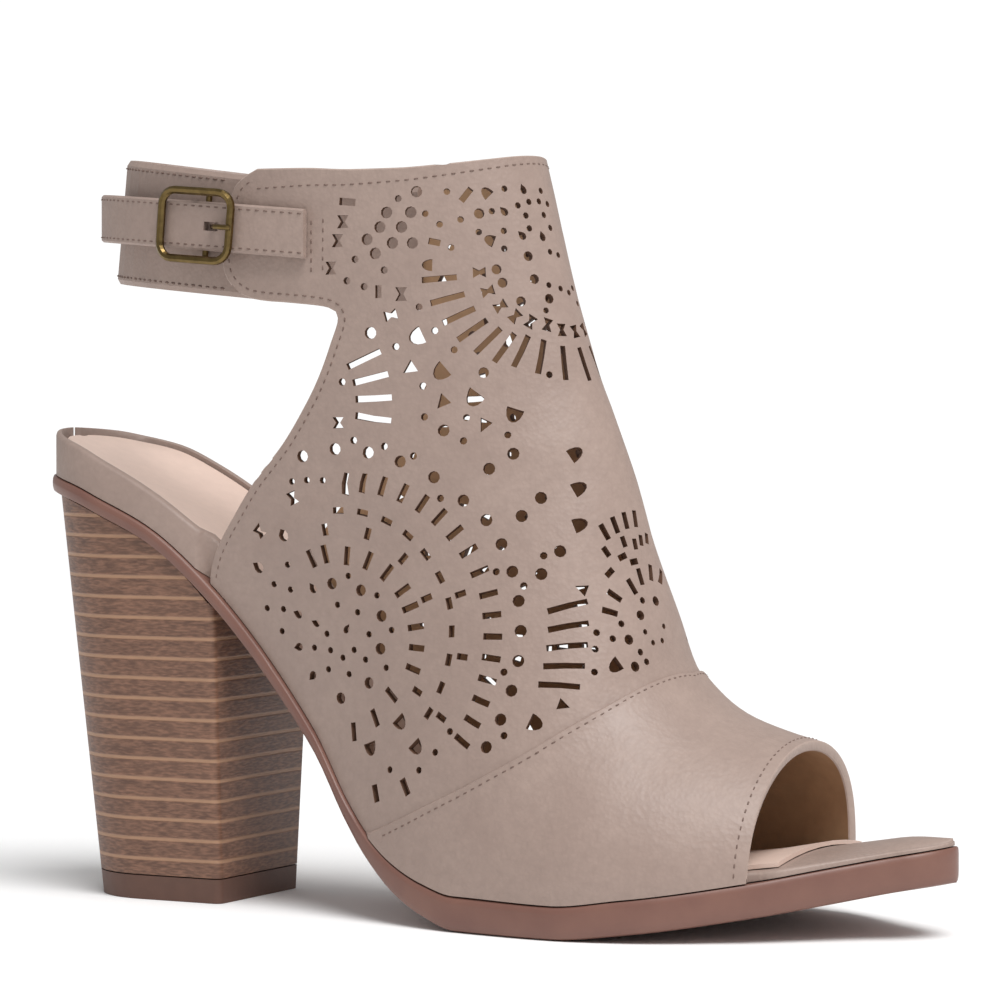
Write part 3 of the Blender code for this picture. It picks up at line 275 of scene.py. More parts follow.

# Stitches and studio. Lines of the box stitch beside the strap's end: first and last place in the
# side view
BOX_STITCH = (
    ((87.5, 164.0), (87.5, 151.6)),
    ((90.5, 164.4), (90.5, 151.2)),
)
STITCH_WIDTH = 0.62 * MM
STITCH_HEIGHT = 0.2 * MM
SUN_TURN = (14.0, 24.0, 0.0)
SUN_POWER = 2.35
SUN_SPREAD = 35.0
FLOOR_SIZE = 8.0
WORLD_LIGHT = 0.42
BACKDROP_LIGHT = 1.05
LIGHTS = (
    ("vamp_light", (0.7, -0.3, 0.9), 0.5, 2.2),
)
CAMERA_PLACE = (0.42883, -0.81293, 0.117888)
CAMERA_TURN = (88.74, 0.0, 27.6)
CAMERA_LENS = 139.18
# Medallions of the cut pattern: centres in the side view
MEDALLIONS = {
    "instep": (0.588, 0.850),
    "side": (0.3975, 0.367),
    "toe": (0.696, 0.385),
    "back": (0.326, 0.677),
}

# Rings of cuts about a medallion. Headings are degrees clockwise from the top, seen from outside,
# radii and sizes millimetres, length along the radius, and slant degrees from it.
RING_COLUMNS = (
    "medallion", "shape", "count", "first", "last", "first_radius", "last_radius",
    "length", "width", "slant",
)
RING_ROWS = (
    ("instep", "ray", 5, 146, 206, 24.0, 21.2, 8.2, 1.4, 0),
    ("instep", "ray", 7, 219, 278, 21.4, 28.2, 8.2, 1.4, 0),
    ("instep", "ray", 1, 282, 282, 36.0, 36.0, 7.0, 1.4, 45),
    ("instep", "circle", 4, 212, 288, 7.0, 6.0, 2.4, 2.4, 0),
    ("instep", "circle", 4, 244, 282, 12.0, 15.0, 2.4, 2.4, 0),
    ("instep", "circle", 1, 306, 306, 8.0, 8.0, 2.4, 2.4, 0),
    ("instep", "half", 4, 212, 258, 36.2, 37.0, 3.6, 4.2, 0),
    ("instep", "triangle", 3, 220, 250, 41.0, 42.2, 3.2, 3.2, 0),
    ("instep", "bow", 5, 142, 206, 16.0, 13.2, 3.0, 2.5, 0),
    ("instep", "bow", 5, 223, 280, 14.2, 19.0, 3.0, 2.5, 0),
    ("instep", "bow", 1, 268, 268, 41.0, 41.0, 3.0, 2.6, 0),
    ("instep", "dot", 7, 186, 276, 15.8, 22.0, 1.6, 1.6, 0),
    ("instep", "dot", 2, 0, 34, 5.0, 5.0, 1.5, 1.5, 0),
    ("instep", "dot", 2, 124, 148, 7.0, 6.0, 1.5, 1.5, 0),
    ("instep", "dot", 2, 174, 226, 4.0, 4.0, 1.5, 1.5, 0),
    ("instep", "dot", 2, 120, 140, 12.0, 10.0, 1.5, 1.5, 0),
    ("instep", "dot", 2, 212, 226, 10.0, 8.0, 1.5, 1.5, 0),
    ("instep", "circle", 2, 186, 230, 26.0, 30.0, 2.5, 2.5, 0),
    ("instep", "dot", 3, 200, 236, 25.0, 27.0, 1.7, 1.7, 0),
    ("instep", "dot", 3, 246, 268, 31.0, 34.0, 1.7, 1.7, 0),
    ("instep", "dot", 2, 212, 226, 41.0, 41.0, 1.7, 1.7, 0),
    ("instep", "dot", 2, 302, 302, 9.0, 14.0, 1.6, 1.6, 0),
    ("instep", "dot", 2, 338, 372, 12.0, 11.0, 1.6, 1.6, 0),
    ("instep", "dot", 2, 342, 364, 15.0, 14.0, 1.6, 1.6, 0),
    ("instep", "dot", 4, 340, 372, 18.0, 17.0, 1.6, 1.6, 0),
    ("instep", "dot", 2, 338, 366, 23.0, 20.0, 1.6, 1.6, 0),
    ("instep", "dot", 2, 316, 322, 16.0, 21.0, 1.6, 1.6, 0),
    ("instep", "dot", 2, 306, 308, 21.0, 26.0, 1.6, 1.6, 0),
    ("instep", "dot", 3, 284, 302, 22.0, 30.0, 1.6, 1.6, 0),
    ("instep", "dot", 2, 304, 316, 34.0, 32.0, 1.6, 1.6, 0),
    ("instep", "drop", 2, 325, 352, 12.0, 9.0, 2.6, 1.8, 0),
    ("instep", "drop", 2, 328, 350, 19.0, 21.0, 2.6, 1.8, 0),
    ("instep", "half", 3, 304, 284, 18.0, 31.0, 2.6, 2.8, 0),
    ("instep", "half", 1, 328, 328, 25.0, 25.0, 2.6, 2.8, 0),
    ("instep", "triangle", 1, 296, 296, 24.0, 24.0, 2.8, 2.8, 0),
    ("instep", "circle", 1, 316, 316, 23.0, 23.0, 2.5, 2.5, 0),
    ("instep", "circle", 2, 292, 310, 35.0, 38.0, 2.7, 2.7, 0),
    ("instep", "bow", 1, 312, 312, 28.0, 28.0, 2.8, 2.4, 0),
    ("instep", "dash", 1, 294, 294, 30.0, 30.0, 2.8, 1.5, 0),
    ("instep", "bar", 1, 320, 320, 28.0, 28.0, 3.8, 1.5, 90),
    ("instep", "bar", 1, 310, 310, 34.0, 34.0, 4.0, 1.5, 60),
    ("side", "drop", 2, 330, 430, 8.2, 3.0, 2.6, 1.6, 0),
    ("side", "dot", 4, 160, 320, 4.4, 4.4, 1.6, 1.6, 0),
    ("side", "dot", 7, 30, 290, 8.0, 8.6, 1.6, 1.6, 0),
    ("side", "circle", 3, 26, 100, 13.0, 13.0, 2.8, 2.8, 0),
    ("side", "circle", 3, 136, 220, 11.4, 14.0, 2.8, 2.8, 0),
    ("side", "dot", 4, 45, 152, 15.0, 14.4, 1.6, 1.6, 0),
    ("side", "drop", 4, 262, 362, 13.2, 14.0, 2.8, 2.0, 0),
    ("side", "bar", 2, 14, 25, 20.2, 20.2, 4.4, 1.5, 0),
    ("side", "bar", 4, 42, 92, 19.6, 21.0, 4.4, 1.5, 0),
    ("side", "bar", 4, 104, 143, 21.0, 22.0, 4.4, 1.5, 0),
    ("side", "bar", 4, 166, 228, 19.6, 23.0, 4.4, 1.5, 0),
    ("side", "dot", 7, 240, 344, 17.6, 18.0, 1.6, 1.6, 0),
    ("side", "dot", 4, 306, 356, 22.6, 22.4, 1.6, 1.6, 0),
    ("side", "drop", 3, 320, 364, 27.6, 29.5, 3.4, 2.6, 0),
    ("side", "triangle", 2, 326, 338, 31.4, 31.4, 2.2, 2.2, 0),
    ("side", "bow", 2, 352, 372, 34.0, 34.0, 3.0, 2.6, 0),
    ("side", "dash", 6, 28, 153, 26.0, 25.6, 2.8, 1.5, 0),
    ("side", "dash", 11, 36, 158, 30.4, 31.4, 2.8, 1.5, 90),
    ("side", "dash", 5, 58, 156, 33.6, 35.0, 2.8, 1.5, 0),
    ("side", "dot", 4, 8, 28, 38.4, 37.6, 1.6, 1.6, 0),
    ("side", "half", 2, 172, 196, 26.5, 27.0, 3.4, 3.8, 0),
    ("side", "half", 1, 172, 172, 34.4, 34.4, 3.4, 3.8, 0),
    ("side", "dot", 2, 188, 206, 34.0, 33.4, 1.7, 1.7, 0),
    ("side", "bar", 2, 184, 198, 40.0, 37.6, 4.2, 1.8, 0),
    ("side", "bar", 9, 38, 102, 37.2, 40.4, 4.6, 1.5, 0),
    ("side", "bar", 8, 110, 158, 41.2, 43.2, 4.6, 1.5, 0),
    ("side", "dot", 3, 158, 176, 39.0, 39.0, 1.7, 1.7, 0),
    ("side", "dot", 10, 54, 144, 41.4, 46.4, 1.8, 1.8, 0),
    ("side", "circle", 6, 22, 80, 43.4, 46.0, 2.9, 2.9, 0),
    ("side", "circle", 9, 89, 155, 47.4, 49.4, 2.9, 2.9, 0),
    ("side", "bow", 2, 31, 35, 45.8, 50.4, 2.6, 2.8, 0),
    ("side", "dot", 12, 40, 150, 46.4, 51.8, 1.8, 1.8, 0),
    ("side", "circle", 4, 64, 108, 56.0, 54.4, 2.9, 2.9, 0),
    ("side", "ray", 5, 116, 134, 59.6, 59.6, 9.6, 1.4, -12),
    ("side", "dot", 5, 58, 104, 56.6, 56.0, 1.8, 1.8, 0),
    ("side", "circle", 3, 80, 104, 62.0, 60.0, 2.9, 2.9, 0),
    ("side", "half", 4, 88, 106, 74.0, 63.0, 3.8, 3.4, 0),
    ("side", "half", 1, 144, 144, 57.4, 57.4, 3.6, 3.8, 0),
    ("side", "triangle", 2, 138, 132, 62.0, 62.0, 2.8, 2.8, 0),
    ("toe", "bar", 2, 300, 318, 13.0, 13.0, 4.0, 1.5, 0),
    ("toe", "bar", 4, 344, 400, 11.0, 15.0, 4.0, 1.5, 0),
    ("toe", "dash", 2, 332, 350, 17.0, 18.0, 2.6, 1.5, 90),
    ("toe", "dash", 3, 360, 384, 16.0, 17.0, 2.6, 1.5, 90),
    ("toe", "dash", 2, 340, 356, 21.0, 21.0, 2.6, 1.5, 0),
    ("toe", "dash", 3, 366, 380, 20.0, 22.0, 2.6, 1.5, 0),
    ("toe", "bar", 4, 346, 370, 25.0, 26.0, 4.0, 1.5, 0),
    ("toe", "bar", 1, 392, 392, 31.0, 31.0, 4.0, 1.5, 0),
    ("toe", "triangle", 1, 310, 310, 21.0, 21.0, 3.0, 3.0, 0),
    ("toe", "circle", 2, 232, 264, 12.0, 9.0, 2.5, 2.5, 0),
    ("toe", "circle", 2, 318, 390, 5.0, 7.0, 2.4, 2.4, 0),
    ("toe", "half", 2, 242, 248, 22.0, 16.0, 3.6, 3.4, 0),
    ("toe", "dot", 3, 268, 292, 18.0, 15.0, 1.7, 1.7, 0),
    ("toe", "dot", 2, 272, 288, 13.0, 10.0, 1.7, 1.7, 0),
    ("toe", "dot", 2, 254, 250, 21.0, 26.0, 1.7, 1.7, 0),
    ("toe", "dot", 3, 200, 236, 10.0, 8.0, 1.7, 1.7, 0),
    ("toe", "dot", 1, 350, 350, 7.0, 7.0, 1.7, 1.7, 0),
    ("toe", "dot", 4, 90, 266, 4.0, 3.4, 1.4, 1.4, 0),
    ("back", "ray", 4, 66, 98, 26.0, 26.0, 9.0, 1.5, 0),
)

# Runs of cuts in the side view, in millimetres from the heel's back and from the floor
RUN_COLUMNS = (
    "shape", "count", "first_x", "first_z", "last_x", "last_z", "length", "width", "slant",
)
RUN_ROWS = (
    ("circle", 2, 106.0, 165.0, 111.5, 165.0, 2.8, 2.8, 0),
    ("circle", 2, 104.5, 161.6, 109.5, 161.6, 2.8, 2.8, 0),
    ("circle", 3, 101.5, 158.8, 113.5, 157.0, 2.8, 2.8, 0),
    ("circle", 1, 103.5, 155.5, 103.5, 155.5, 2.8, 2.8, 0),
    ("circle", 1, 113.0, 169.8, 113.0, 169.8, 2.8, 2.8, 0),
    ("bow", 2, 95.5, 163.0, 94.2, 158.6, 3.0, 2.8, 0),
    ("bow", 1, 92.6, 152.2, 92.6, 152.2, 3.0, 2.8, 0),
    ("bow", 1, 76.4, 149.8, 76.4, 149.8, 2.8, 2.6, 0),
    ("bow", 1, 102.6, 166.4, 102.6, 166.4, 3.0, 2.8, 0),
    ("bow", 2, 108.0, 141.6, 109.5, 146.0, 3.2, 2.8, 0),
    ("dot", 4, 79.6, 149.2, 89.0, 150.2, 1.7, 1.7, 0),
    ("dot", 2, 96.6, 149.2, 100.8, 147.8, 1.8, 1.8, 0),
    ("dot", 2, 98.6, 154.2, 105.6, 151.6, 1.8, 1.8, 0),
    ("dot", 2, 77.0, 171.2, 80.2, 169.6, 1.8, 1.8, 0),
    ("bar", 1, 85.0, 170.0, 85.0, 170.0, 3.6, 1.4, 90),
    ("dot", 1, 90.2, 170.2, 90.2, 170.2, 1.9, 1.9, 0),
    ("bar", 2, 97.2, 170.4, 96.6, 167.6, 4.0, 1.7, 95),
    ("bar", 2, 105.6, 169.6, 117.6, 167.8, 4.0, 1.5, 50),
    ("dot", 2, 108.6, 168.2, 115.6, 164.2, 1.7, 1.7, 0),
    ("half", 1, 116.4, 153.0, 116.4, 153.0, 2.6, 3.4, 0),
    ("bar", 1, 104.2, 146.6, 104.2, 146.6, 3.0, 1.5, 0),
    ("circle", 1, 102.2, 137.0, 102.2, 137.0, 2.9, 2.9, 0),
    ("dot", 1, 114.6, 142.6, 114.6, 142.6, 1.8, 1.8, 0),
    ("dot", 3, 95.0, 125.6, 114.4, 124.6, 1.8, 1.8, 0),
    ("dot", 1, 108.2, 133.8, 108.2, 133.8, 1.8, 1.8, 0),
)
FULL_MIRROR_TURN = 12.0



def steady_curve(xs, ys, where):
    """Cubic through points whose slopes never overshoot."""
    steps = np.diff(xs)
    slopes = np.diff(ys) / steps
    tangents = np.zeros(len(xs))
    for i in range(1, len(xs) - 1):
        before, after = slopes[i - 1], slopes[i]
        if before * after > 0:
            wide, narrow = 2 * steps[i] + steps[i - 1], steps[i] + 2 * steps[i - 1]
            tangents[i] = (wide + narrow) / (wide / before + narrow / after)
    tangents[0], tangents[-1] = slopes[0], slopes[-1]
    at = np.clip(np.asarray(where, float), xs[0], xs[-1])
    index = np.clip(np.searchsorted(xs, at, side="right") - 1, 0, len(xs) - 2)
    step = steps[index]
    t = (at - xs[index]) / step
    return (
        (1 + 2 * t) * (1 - t) ** 2 * ys[index]
        + t * (1 - t) ** 2 * step * tangents[index]
        + t * t * (3 - 2 * t) * ys[index + 1]
        + t * t * (t - 1) * step * tangents[index + 1]
    )


def column(columns, rows, name):
    return np.array([row[columns.index(name)] for row in rows], float)


def sole_value(name, x):
    along = column(SOLE_COLUMNS, SOLE_ROWS, "along")
    return steady_curve(along, column(SOLE_COLUMNS, SOLE_ROWS, name), np.asarray(x) / SHOE_LENGTH)


def bed_value(name, x):
    along = column(BED_COLUMNS, BED_ROWS, "along")
    return steady_curve(along, column(BED_COLUMNS, BED_ROWS, name), np.asarray(x) / SHOE_LENGTH)


def upper_value(name, rows):
    values = column(UPPER_COLUMNS, UPPER_ROWS, name)
    return steady_curve(np.arange(len(values), dtype=float), values, rows)


def underside(x):
    return HEEL_RISE * sole_value("rise", x)


def sole_top(x):
    return underside(x) + SOLE_EDGE * sole_value("edge", x)


def edge_sides(x):
    """Lateral and medial edge of the sole in plan, away from the rounded ends."""
    return -BALL_WIDTH * sole_value("lateral", x), BALL_WIDTH * sole_value("medial", x)


def unit(vectors):
    return vectors / np.maximum(np.linalg.norm(vectors, axis=-1, keepdims=True), 1e-12)


def form(turns, rows):
    """Outer face of the upper; turns run from -90 (lateral) over 0 (ridge) to 90 (medial)."""
    turns, rows = np.broadcast_arrays(np.asarray(turns, float), np.asarray(rows, float))
    foot_x = SHOE_LENGTH * upper_value("end_along", rows)
    foot_z = sole_top(foot_x) + FIT_GAP + COLLAR_HEIGHT * upper_value("lift", rows)
    ridge_x = SHOE_LENGTH * upper_value("ridge_along", rows)
    ridge_z = COLLAR_HEIGHT * upper_value("ridge_up", rows)
    climb = np.cos(np.radians(np.abs(turns)))
    lateral = turns < 0
    spread = ANKLE_WIDTH * upper_value("spread", rows) - FEATHER_INSET
    left, right = edge_sides(foot_x)
    end_y = np.where(lateral, left - spread, right + spread)
    ridge_y = BALL_WIDTH * upper_value("ridge_side", rows)
    fullness = np.where(
        lateral, upper_value("lateral_round", rows), upper_value("medial_round", rows)
    )
    tuck = upper_value("tuck", rows)
    width = np.sqrt(np.maximum(0.0, 1 - climb ** fullness))
    width = width * (1 - tuck * (1 - climb) ** 2) / (1 - tuck)
    return np.stack([
        foot_x + (ridge_x - foot_x) * climb,
        ridge_y + (end_y - ridge_y) * width,
        foot_z + (ridge_z - foot_z) * climb,
    ], -1)


def slopes_of(surface, turns, rows):
    """How a face runs on a degree of turn and on a row."""
    turns, rows = np.asarray(turns, float), np.asarray(rows, float)
    last = len(UPPER_ROWS) - 1.0
    left, right = np.clip(turns - 0.5, -90, 90), np.clip(turns + 0.5, -90, 90)
    low, high = np.clip(rows - 0.012, 0, last), np.clip(rows + 0.012, 0, last)
    around = (surface(right, rows) - surface(left, rows)) / (right - left)[..., None]
    along = (surface(turns, high) - surface(turns, low)) / (high - low)[..., None]
    return around, along


def outward(turns, rows, surface=form):
    """Outward direction of the upper's face."""
    around, along = slopes_of(surface, turns, rows)
    return unit(np.cross(around, along))


def skin(turns, rows):
    """Outer face of the upper with its creases."""
    turns, rows = np.broadcast_arrays(np.asarray(turns, float), np.asarray(rows, float))
    points = form(turns, rows)
    depth = np.zeros(turns.shape)
    for side, x1, z1, x2, z2, width, height in CREASE_ROWS:
        start, end = np.array((x1, z1)) * MM, np.array((x2, z2)) * MM
        run = end - start
        length = np.hypot(*run)
        offset = points[..., (0, 2)] - start
        share = offset @ run / length ** 2
        away = np.abs(offset[..., 0] * run[1] - offset[..., 1] * run[0]) / length
        fade = np.exp(-((share - 0.5) / 0.34) ** 4) * np.exp(-(away / (width * MM)) ** 2)
        facing = 1 / (1 + np.exp(-side * turns / 4.0))
        depth = depth + height * MM * fade * facing
    return points + outward(turns, rows) * depth[..., None]


def move(turns, rows, steps):
    """Turns and rows after small steps, given as vectors in the upper's face."""
    around, along = slopes_of(form, turns, rows)
    size_a, shared, size_b = (around ** 2).sum(-1), (around * along).sum(-1), (along ** 2).sum(-1)
    part_a, part_b = (steps * around).sum(-1), (steps * along).sum(-1)
    spread = size_a * size_b - shared ** 2
    turns = turns + (part_a * size_b - part_b * shared) / spread
    rows = rows + (part_b * size_a - part_a * shared) / spread
    return np.clip(turns, -90, 90), np.clip(rows, 0, len(UPPER_ROWS) - 1.0)


def stroll(turns, rows, headings, distances):
    """Places reached by going straight over the upper's face, and the directions there."""
    around, along = slopes_of(form, turns, rows)
    normals, up = unit(np.cross(around, along)), unit(along)
    angles = np.radians(headings)[:, None]
    directions = up * np.cos(angles) + np.cross(up, normals) * np.sin(angles)
    count = max(1, round(float(np.max(distances)) / (2 * MM)))
    for _ in range(count):
        normals = outward(turns, rows)
        directions = unit(directions - normals * (directions * normals).sum(-1, keepdims=True))
        turns, rows = move(turns, rows, directions * (distances / count)[:, None])
    normals = outward(turns, rows)
    directions = unit(directions - normals * (directions * normals).sum(-1, keepdims=True))
    return turns, rows, directions


def locate(x, z):
    """Rows and turns (lateral or medial alike) of the upper's face at side-view places."""
    x, z = np.broadcast_arrays(np.asarray(x, float), np.asarray(z, float))
    low, high = np.zeros(x.shape), np.full(x.shape, len(UPPER_ROWS) - 1.0)

    def ends(rows):
        foot = form(np.full(rows.shape, 90.0), rows)
        ridge = form(np.zeros(rows.shape), rows)
        return foot[..., 0], foot[..., 2], ridge[..., 0], ridge[..., 2]

    for _ in range(32):
        middle = (low + high) / 2
        foot_x, foot_z, ridge_x, ridge_z = ends(middle)
        beyond = (ridge_x - foot_x) * (z - foot_z) - (ridge_z - foot_z) * (x - foot_x) > 0
        low, high = np.where(beyond, middle, low), np.where(beyond, high, middle)
    foot_x, foot_z, ridge_x, ridge_z = ends(low)
    run_x, run_z = ridge_x - foot_x, ridge_z - foot_z
    climb = ((x - foot_x) * run_x + (z - foot_z) * run_z) / (run_x ** 2 + run_z ** 2)
    return low, np.degrees(np.arccos(np.clip(climb, 0.0, 1.0)))


def solve_rows(turns, beyond):
    """Rows at which beyond(points, turns) turns true, going from the toe to the collar."""
    low, high = np.zeros(len(turns)), np.full(len(turns), len(UPPER_ROWS) - 1.0)
    for _ in range(32):
        middle = (low + high) / 2
        past = beyond(form(turns, middle), turns)
        low, high = np.where(past, low, middle), np.where(past, middle, high)
    return low


def smooth_path(points, step):
    """Points at even steps on a curve through all the given ones."""
    knots = [Vector(p) for p in points]
    knots = [2 * knots[0] - knots[1]] + knots + [2 * knots[-1] - knots[-2]]
    path = []
    for i in range(1, len(knots) - 2):
        before, start, end, after = knots[i - 1:i + 3]
        count = max(1, round((end - start).length / step))
        for k in range(count):
            t = k / count
            path.append(0.5 * (
                2 * start + (end - before) * t
                + (2 * before - 5 * start + 4 * end - after) * t * t
                + (3 * start - before - 3 * end + after) * t ** 3
            ))
    path.append(knots[-2])
    return path


def flat(turns, rows):
    """Places in the upper's flat pattern, about to scale."""
    return np.stack([np.radians(turns) * GIRTH_RADIUS, np.asarray(rows) * ROW_PITCH], -1)


def unflat(places):
    """Turns and rows of places in the flat pattern."""
    places = np.asarray(places, float)
    turns = np.clip(np.degrees(places[:, 0] / GIRTH_RADIUS), -90, 90)
    return turns, np.clip(places[:, 1] / ROW_PITCH, 0, len(UPPER_ROWS) - 1.0)


def seam_table():
    """Turns and rows of the vamp's edge, from the ridge to the sole."""
    table = np.array(SEAM_ROWS) * (SHOE_LENGTH, COLLAR_HEIGHT)
    rows, places = locate(table[:, 0], table[:, 1])
    order = np.argsort(places)
    at = places[order]
    at[0], at[-1] = 0.0, 90.0
    return at, rows[order]


def seam_rows(turns):
    """Rows of the vamp's edge."""
    return steady_curve(*SEAM, np.abs(turns))


def back_path(step):
    """Turns and rows of the back opening and the tab, from the sole up."""
    table = [(a * SHOE_LENGTH, b * COLLAR_HEIGHT) for a, b in BACK_ROWS]
    path = np.array(smooth_path(table, step))
    rows, turns = locate(path[:, 0], path[:, 1])
    turns[0] = 90.0
    return turns, rows


def collar_rows(turns):
    table = np.array(COLLAR_ROWS)

    def beyond(points, _):
        along = points[:, 0] / SHOE_LENGTH
        return points[:, 2] > COLLAR_HEIGHT * steady_curve(table[:, 0], table[:, 1], along)

    return solve_rows(turns, beyond)


def toe_rows(turns):
    def beyond(points, at):
        return points[:, 0] < SHOE_LENGTH * (TOE_OPENING + TOE_SKEW * at / 90)

    return solve_rows(turns, beyond)


def upper_border():
    """Turns and rows of the upper's outline: toe opening, soles' edges, tabs and collar."""
    toe_turns = np.linspace(90, -90, 91)
    toe = toe_rows(toe_turns)
    back_turns, back = back_path(1.6 * MM)
    feather = np.linspace(toe[-1], back[0], 90)[1:-1]
    side_turns = np.concatenate([np.full(len(feather), 90.0), back_turns])
    side = np.concatenate([feather, back])
    corner = back_turns[-1]
    collar_turns = np.linspace(-corner, corner, 81)[1:-1]
    turns = np.concatenate([toe_turns, -side_turns, collar_turns, side_turns[::-1]])
    rows = np.concatenate([toe, side, collar_rows(collar_turns), side[::-1]])
    return turns, rows


def inside(polygon, places):
    """Whether places lie in a polygon."""
    polygon, places = np.asarray(polygon), np.asarray(places)
    hit = np.zeros(len(places), bool)
    x, y = places[:, 0], places[:, 1]
    for (x1, y1), (x2, y2) in zip(polygon, np.roll(polygon, -1, axis=0)):
        if y1 == y2:
            continue
        cross = ((y1 > y) != (y2 > y)) & (x < x1 + (y - y1) / (y2 - y1) * (x2 - x1))
        hit ^= cross
    return hit


def arc_points(first, last, count, centre, reach_u, reach_v):
    turns = np.radians(np.linspace(first, last, count))
    return [(centre + reach_u * math.cos(t), reach_v * math.sin(t)) for t in turns]


def shape_points(shape, length, width):
    """Outline of a cut, its length along the first axis."""
    if shape in ("circle", "dot"):
        unit_points = arc_points(0, 324, 10, 0.0, 0.5, 0.5) if shape == "circle" else (
            arc_points(0, 315, 8, 0.0, 0.5, 0.5)
        )
    elif shape == "bow":
        unit_points = [(-0.5, -0.5), (0, -0.18), (0.5, -0.5), (0.5, 0.5), (0, 0.18), (-0.5, 0.5)]
    elif shape == "half":
        unit_points = [(-0.45, -0.5)] + arc_points(-75, 75, 7, -0.45, 0.95, 0.5) + [(-0.45, 0.5)]
    elif shape == "triangle":
        unit_points = [(-0.5, -0.5), (0.5, 0.0), (-0.5, 0.5)]
    elif shape == "drop":
        unit_points = [(0.5, 0.0)] + arc_points(60, 300, 7, -0.12, 0.38, 0.5)
    else:
        unit_points = [(-0.5, -0.5), (0, -0.5), (0.5, -0.5), (0.5, 0.5), (0, 0.5), (-0.5, 0.5)]
    return [(u * length * MM, v * width * MM) for u, v in unit_points]


def cuts():
    """Cuts of both tables: shape, size, slant, turn, row and direction."""
    found = []
    for line in RING_ROWS:
        medallion, shape, count, first, last, start, end, length, width, slant = line
        along, up = MEDALLIONS[medallion]
        row, turn = locate(along * SHOE_LENGTH, up * COLLAR_HEIGHT)
        headings = np.linspace(first, last, count)
        radii = np.linspace(start, end, count) * MM
        turns, rows, ways = stroll(
            np.full(count, -float(turn)), np.full(count, float(row)), headings, radii
        )
        found += [(shape, length, width, slant, t, r, w) for t, r, w in zip(turns, rows, ways)]
    for shape, count, x1, z1, x2, z2, length, width, slant in RUN_ROWS:
        xs, zs = np.linspace(x1, x2, count) * MM, np.linspace(z1, z2, count) * MM
        rows, turns = locate(xs, zs)
        up = np.array((0.0, 0.0, 1.0))
        found += [(shape, length, width, slant, -t, r, up) for t, r in zip(turns, rows)]
    return found


def hole_outlines(border):
    """Outlines of the cuts in the flat pattern, lateral side first."""
    outlines = []
    taken = np.full((1, 2), 1.0)
    for shape, length, width, slant, turn, row, way in cuts():
        normal = outward(np.array([turn]), np.array([row]))[0]
        way = unit(way - normal * (way @ normal))
        side = np.cross(way, normal)
        angle = math.radians(slant)
        main = way * math.cos(angle) + side * math.sin(angle)
        cross = np.cross(main, normal)
        corners = np.array([main * u + cross * v for u, v in shape_points(shape, length, width)])
        turns, rows = move(np.full(len(corners), turn), np.full(len(corners), row), corners)
        sides = (1, -1) if turn < -FULL_MIRROR_TURN else (1,)
        for sign in sides:
            outline = flat(sign * turns, rows)
            middle = outline.mean(axis=0)
            reach = np.hypot(*(outline - middle).T).max()
            ahead = np.roll(outline, -1, axis=0)
            rim = np.concatenate([outline + (ahead - outline) * k / 3 for k in range(3)])
            near = taken[np.hypot(*(taken - middle).T) < reach + 4 * HOLE_GAP]
            gaps = np.hypot(*(rim[:, None, :] - near[None, :, :]).transpose(2, 0, 1))
            clear = not len(near) or gaps.min() > HOLE_GAP
            open_edge = np.hypot(*(border - middle).T).min() > reach + BORDER_GAP
            above = (rows > seam_rows(sign * turns) + SEAM_GAP / ROW_PITCH).all()
            if clear and open_edge and above and inside(border, [middle])[0]:
                taken = np.concatenate([taken, rim])
                outlines.append(outline)
    return outlines


SEAM = seam_table()


def linear(colour):
    """Linear colour from the 0 to 255 values of a paint card."""
    return tuple(((c / 255 + 0.055) / 1.055) ** 2.4 for c in colour)


class Channel:
    """A shader socket that sums can be written with, also with a number first."""

    def __init__(self, finish, socket):
        self.finish, self.socket = finish, socket

    def sum(self, operation, first, second):
        return self.finish.node("ShaderNodeMath", {"operation": operation}, {0: first, 1: second})

    def __add__(self, other):
        return self.sum("ADD", self, other)

    __radd__ = __add__

    def __sub__(self, other):
        return self.sum("SUBTRACT", self, other)

    def __rsub__(self, other):
        return self.sum("SUBTRACT", other, self)

    def __mul__(self, other):
        return self.sum("MULTIPLY", self, other)

    __rmul__ = __mul__


class Finish:
    """A material and the nodes that feed its shader."""

    def __init__(self, name, roughness, metallic=0.0, specular=0.5):
        self.material = bpy.data.materials.new(name)
        self.material.use_nodes = True
        self.nodes = self.material.node_tree.nodes
        self.shader = self.nodes["Principled BSDF"]
        self.shader.inputs["Roughness"].default_value = roughness
        self.shader.inputs["Metallic"].default_value = metallic
        self.shader.inputs["Specular IOR Level"].default_value = specular
        self.place = self.node("ShaderNodeTexCoord", {}, {}, "Object")

    def node(self, kind, settings, values, output=0):
        made = self.nodes.new(kind)
        for key, value in settings.items():
            setattr(made, key, value)
        for key, value in values.items():
            self.feed(made.inputs[key], value)
        return Channel(self, made.outputs[output])

    def feed(self, socket, value):
        if isinstance(value, Channel):
            self.material.node_tree.links.new(value.socket, socket)
        else:
            socket.default_value = value

    def set(self, name, value):
        self.feed(self.shader.inputs[name], value)

    def noise(self, scale, detail=3.0, place=None):
        values = {"Vector": place or self.place, "Scale": scale, "Detail": detail}
        return self.node("ShaderNodeTexNoise", {}, values, 0)

    def grain(self, scale):
        values = {"Vector": self.place, "Scale": scale}
        return self.node("ShaderNodeTexVoronoi", {"feature": "F1"}, values, 0)

    def range(self, value, low, high, first=0.0, last=1.0):
        values = {"Value": value, "From Min": low, "From Max": high, "To Min": first, "To Max": last}
        return self.node("ShaderNodeMapRange", {}, values, 0)

    def mix(self, factor, first, second):
        return self.node(
            "ShaderNodeMix", {"data_type": "RGBA"}, {0: factor, 6: tint(first), 7: tint(second)}, 2
        )

    def bump(self, height, distance, strength=1.0):
        values = {"Height": height, "Distance": distance, "Strength": strength}
        self.set("Normal", self.node("ShaderNodeBump", {}, values, 0))


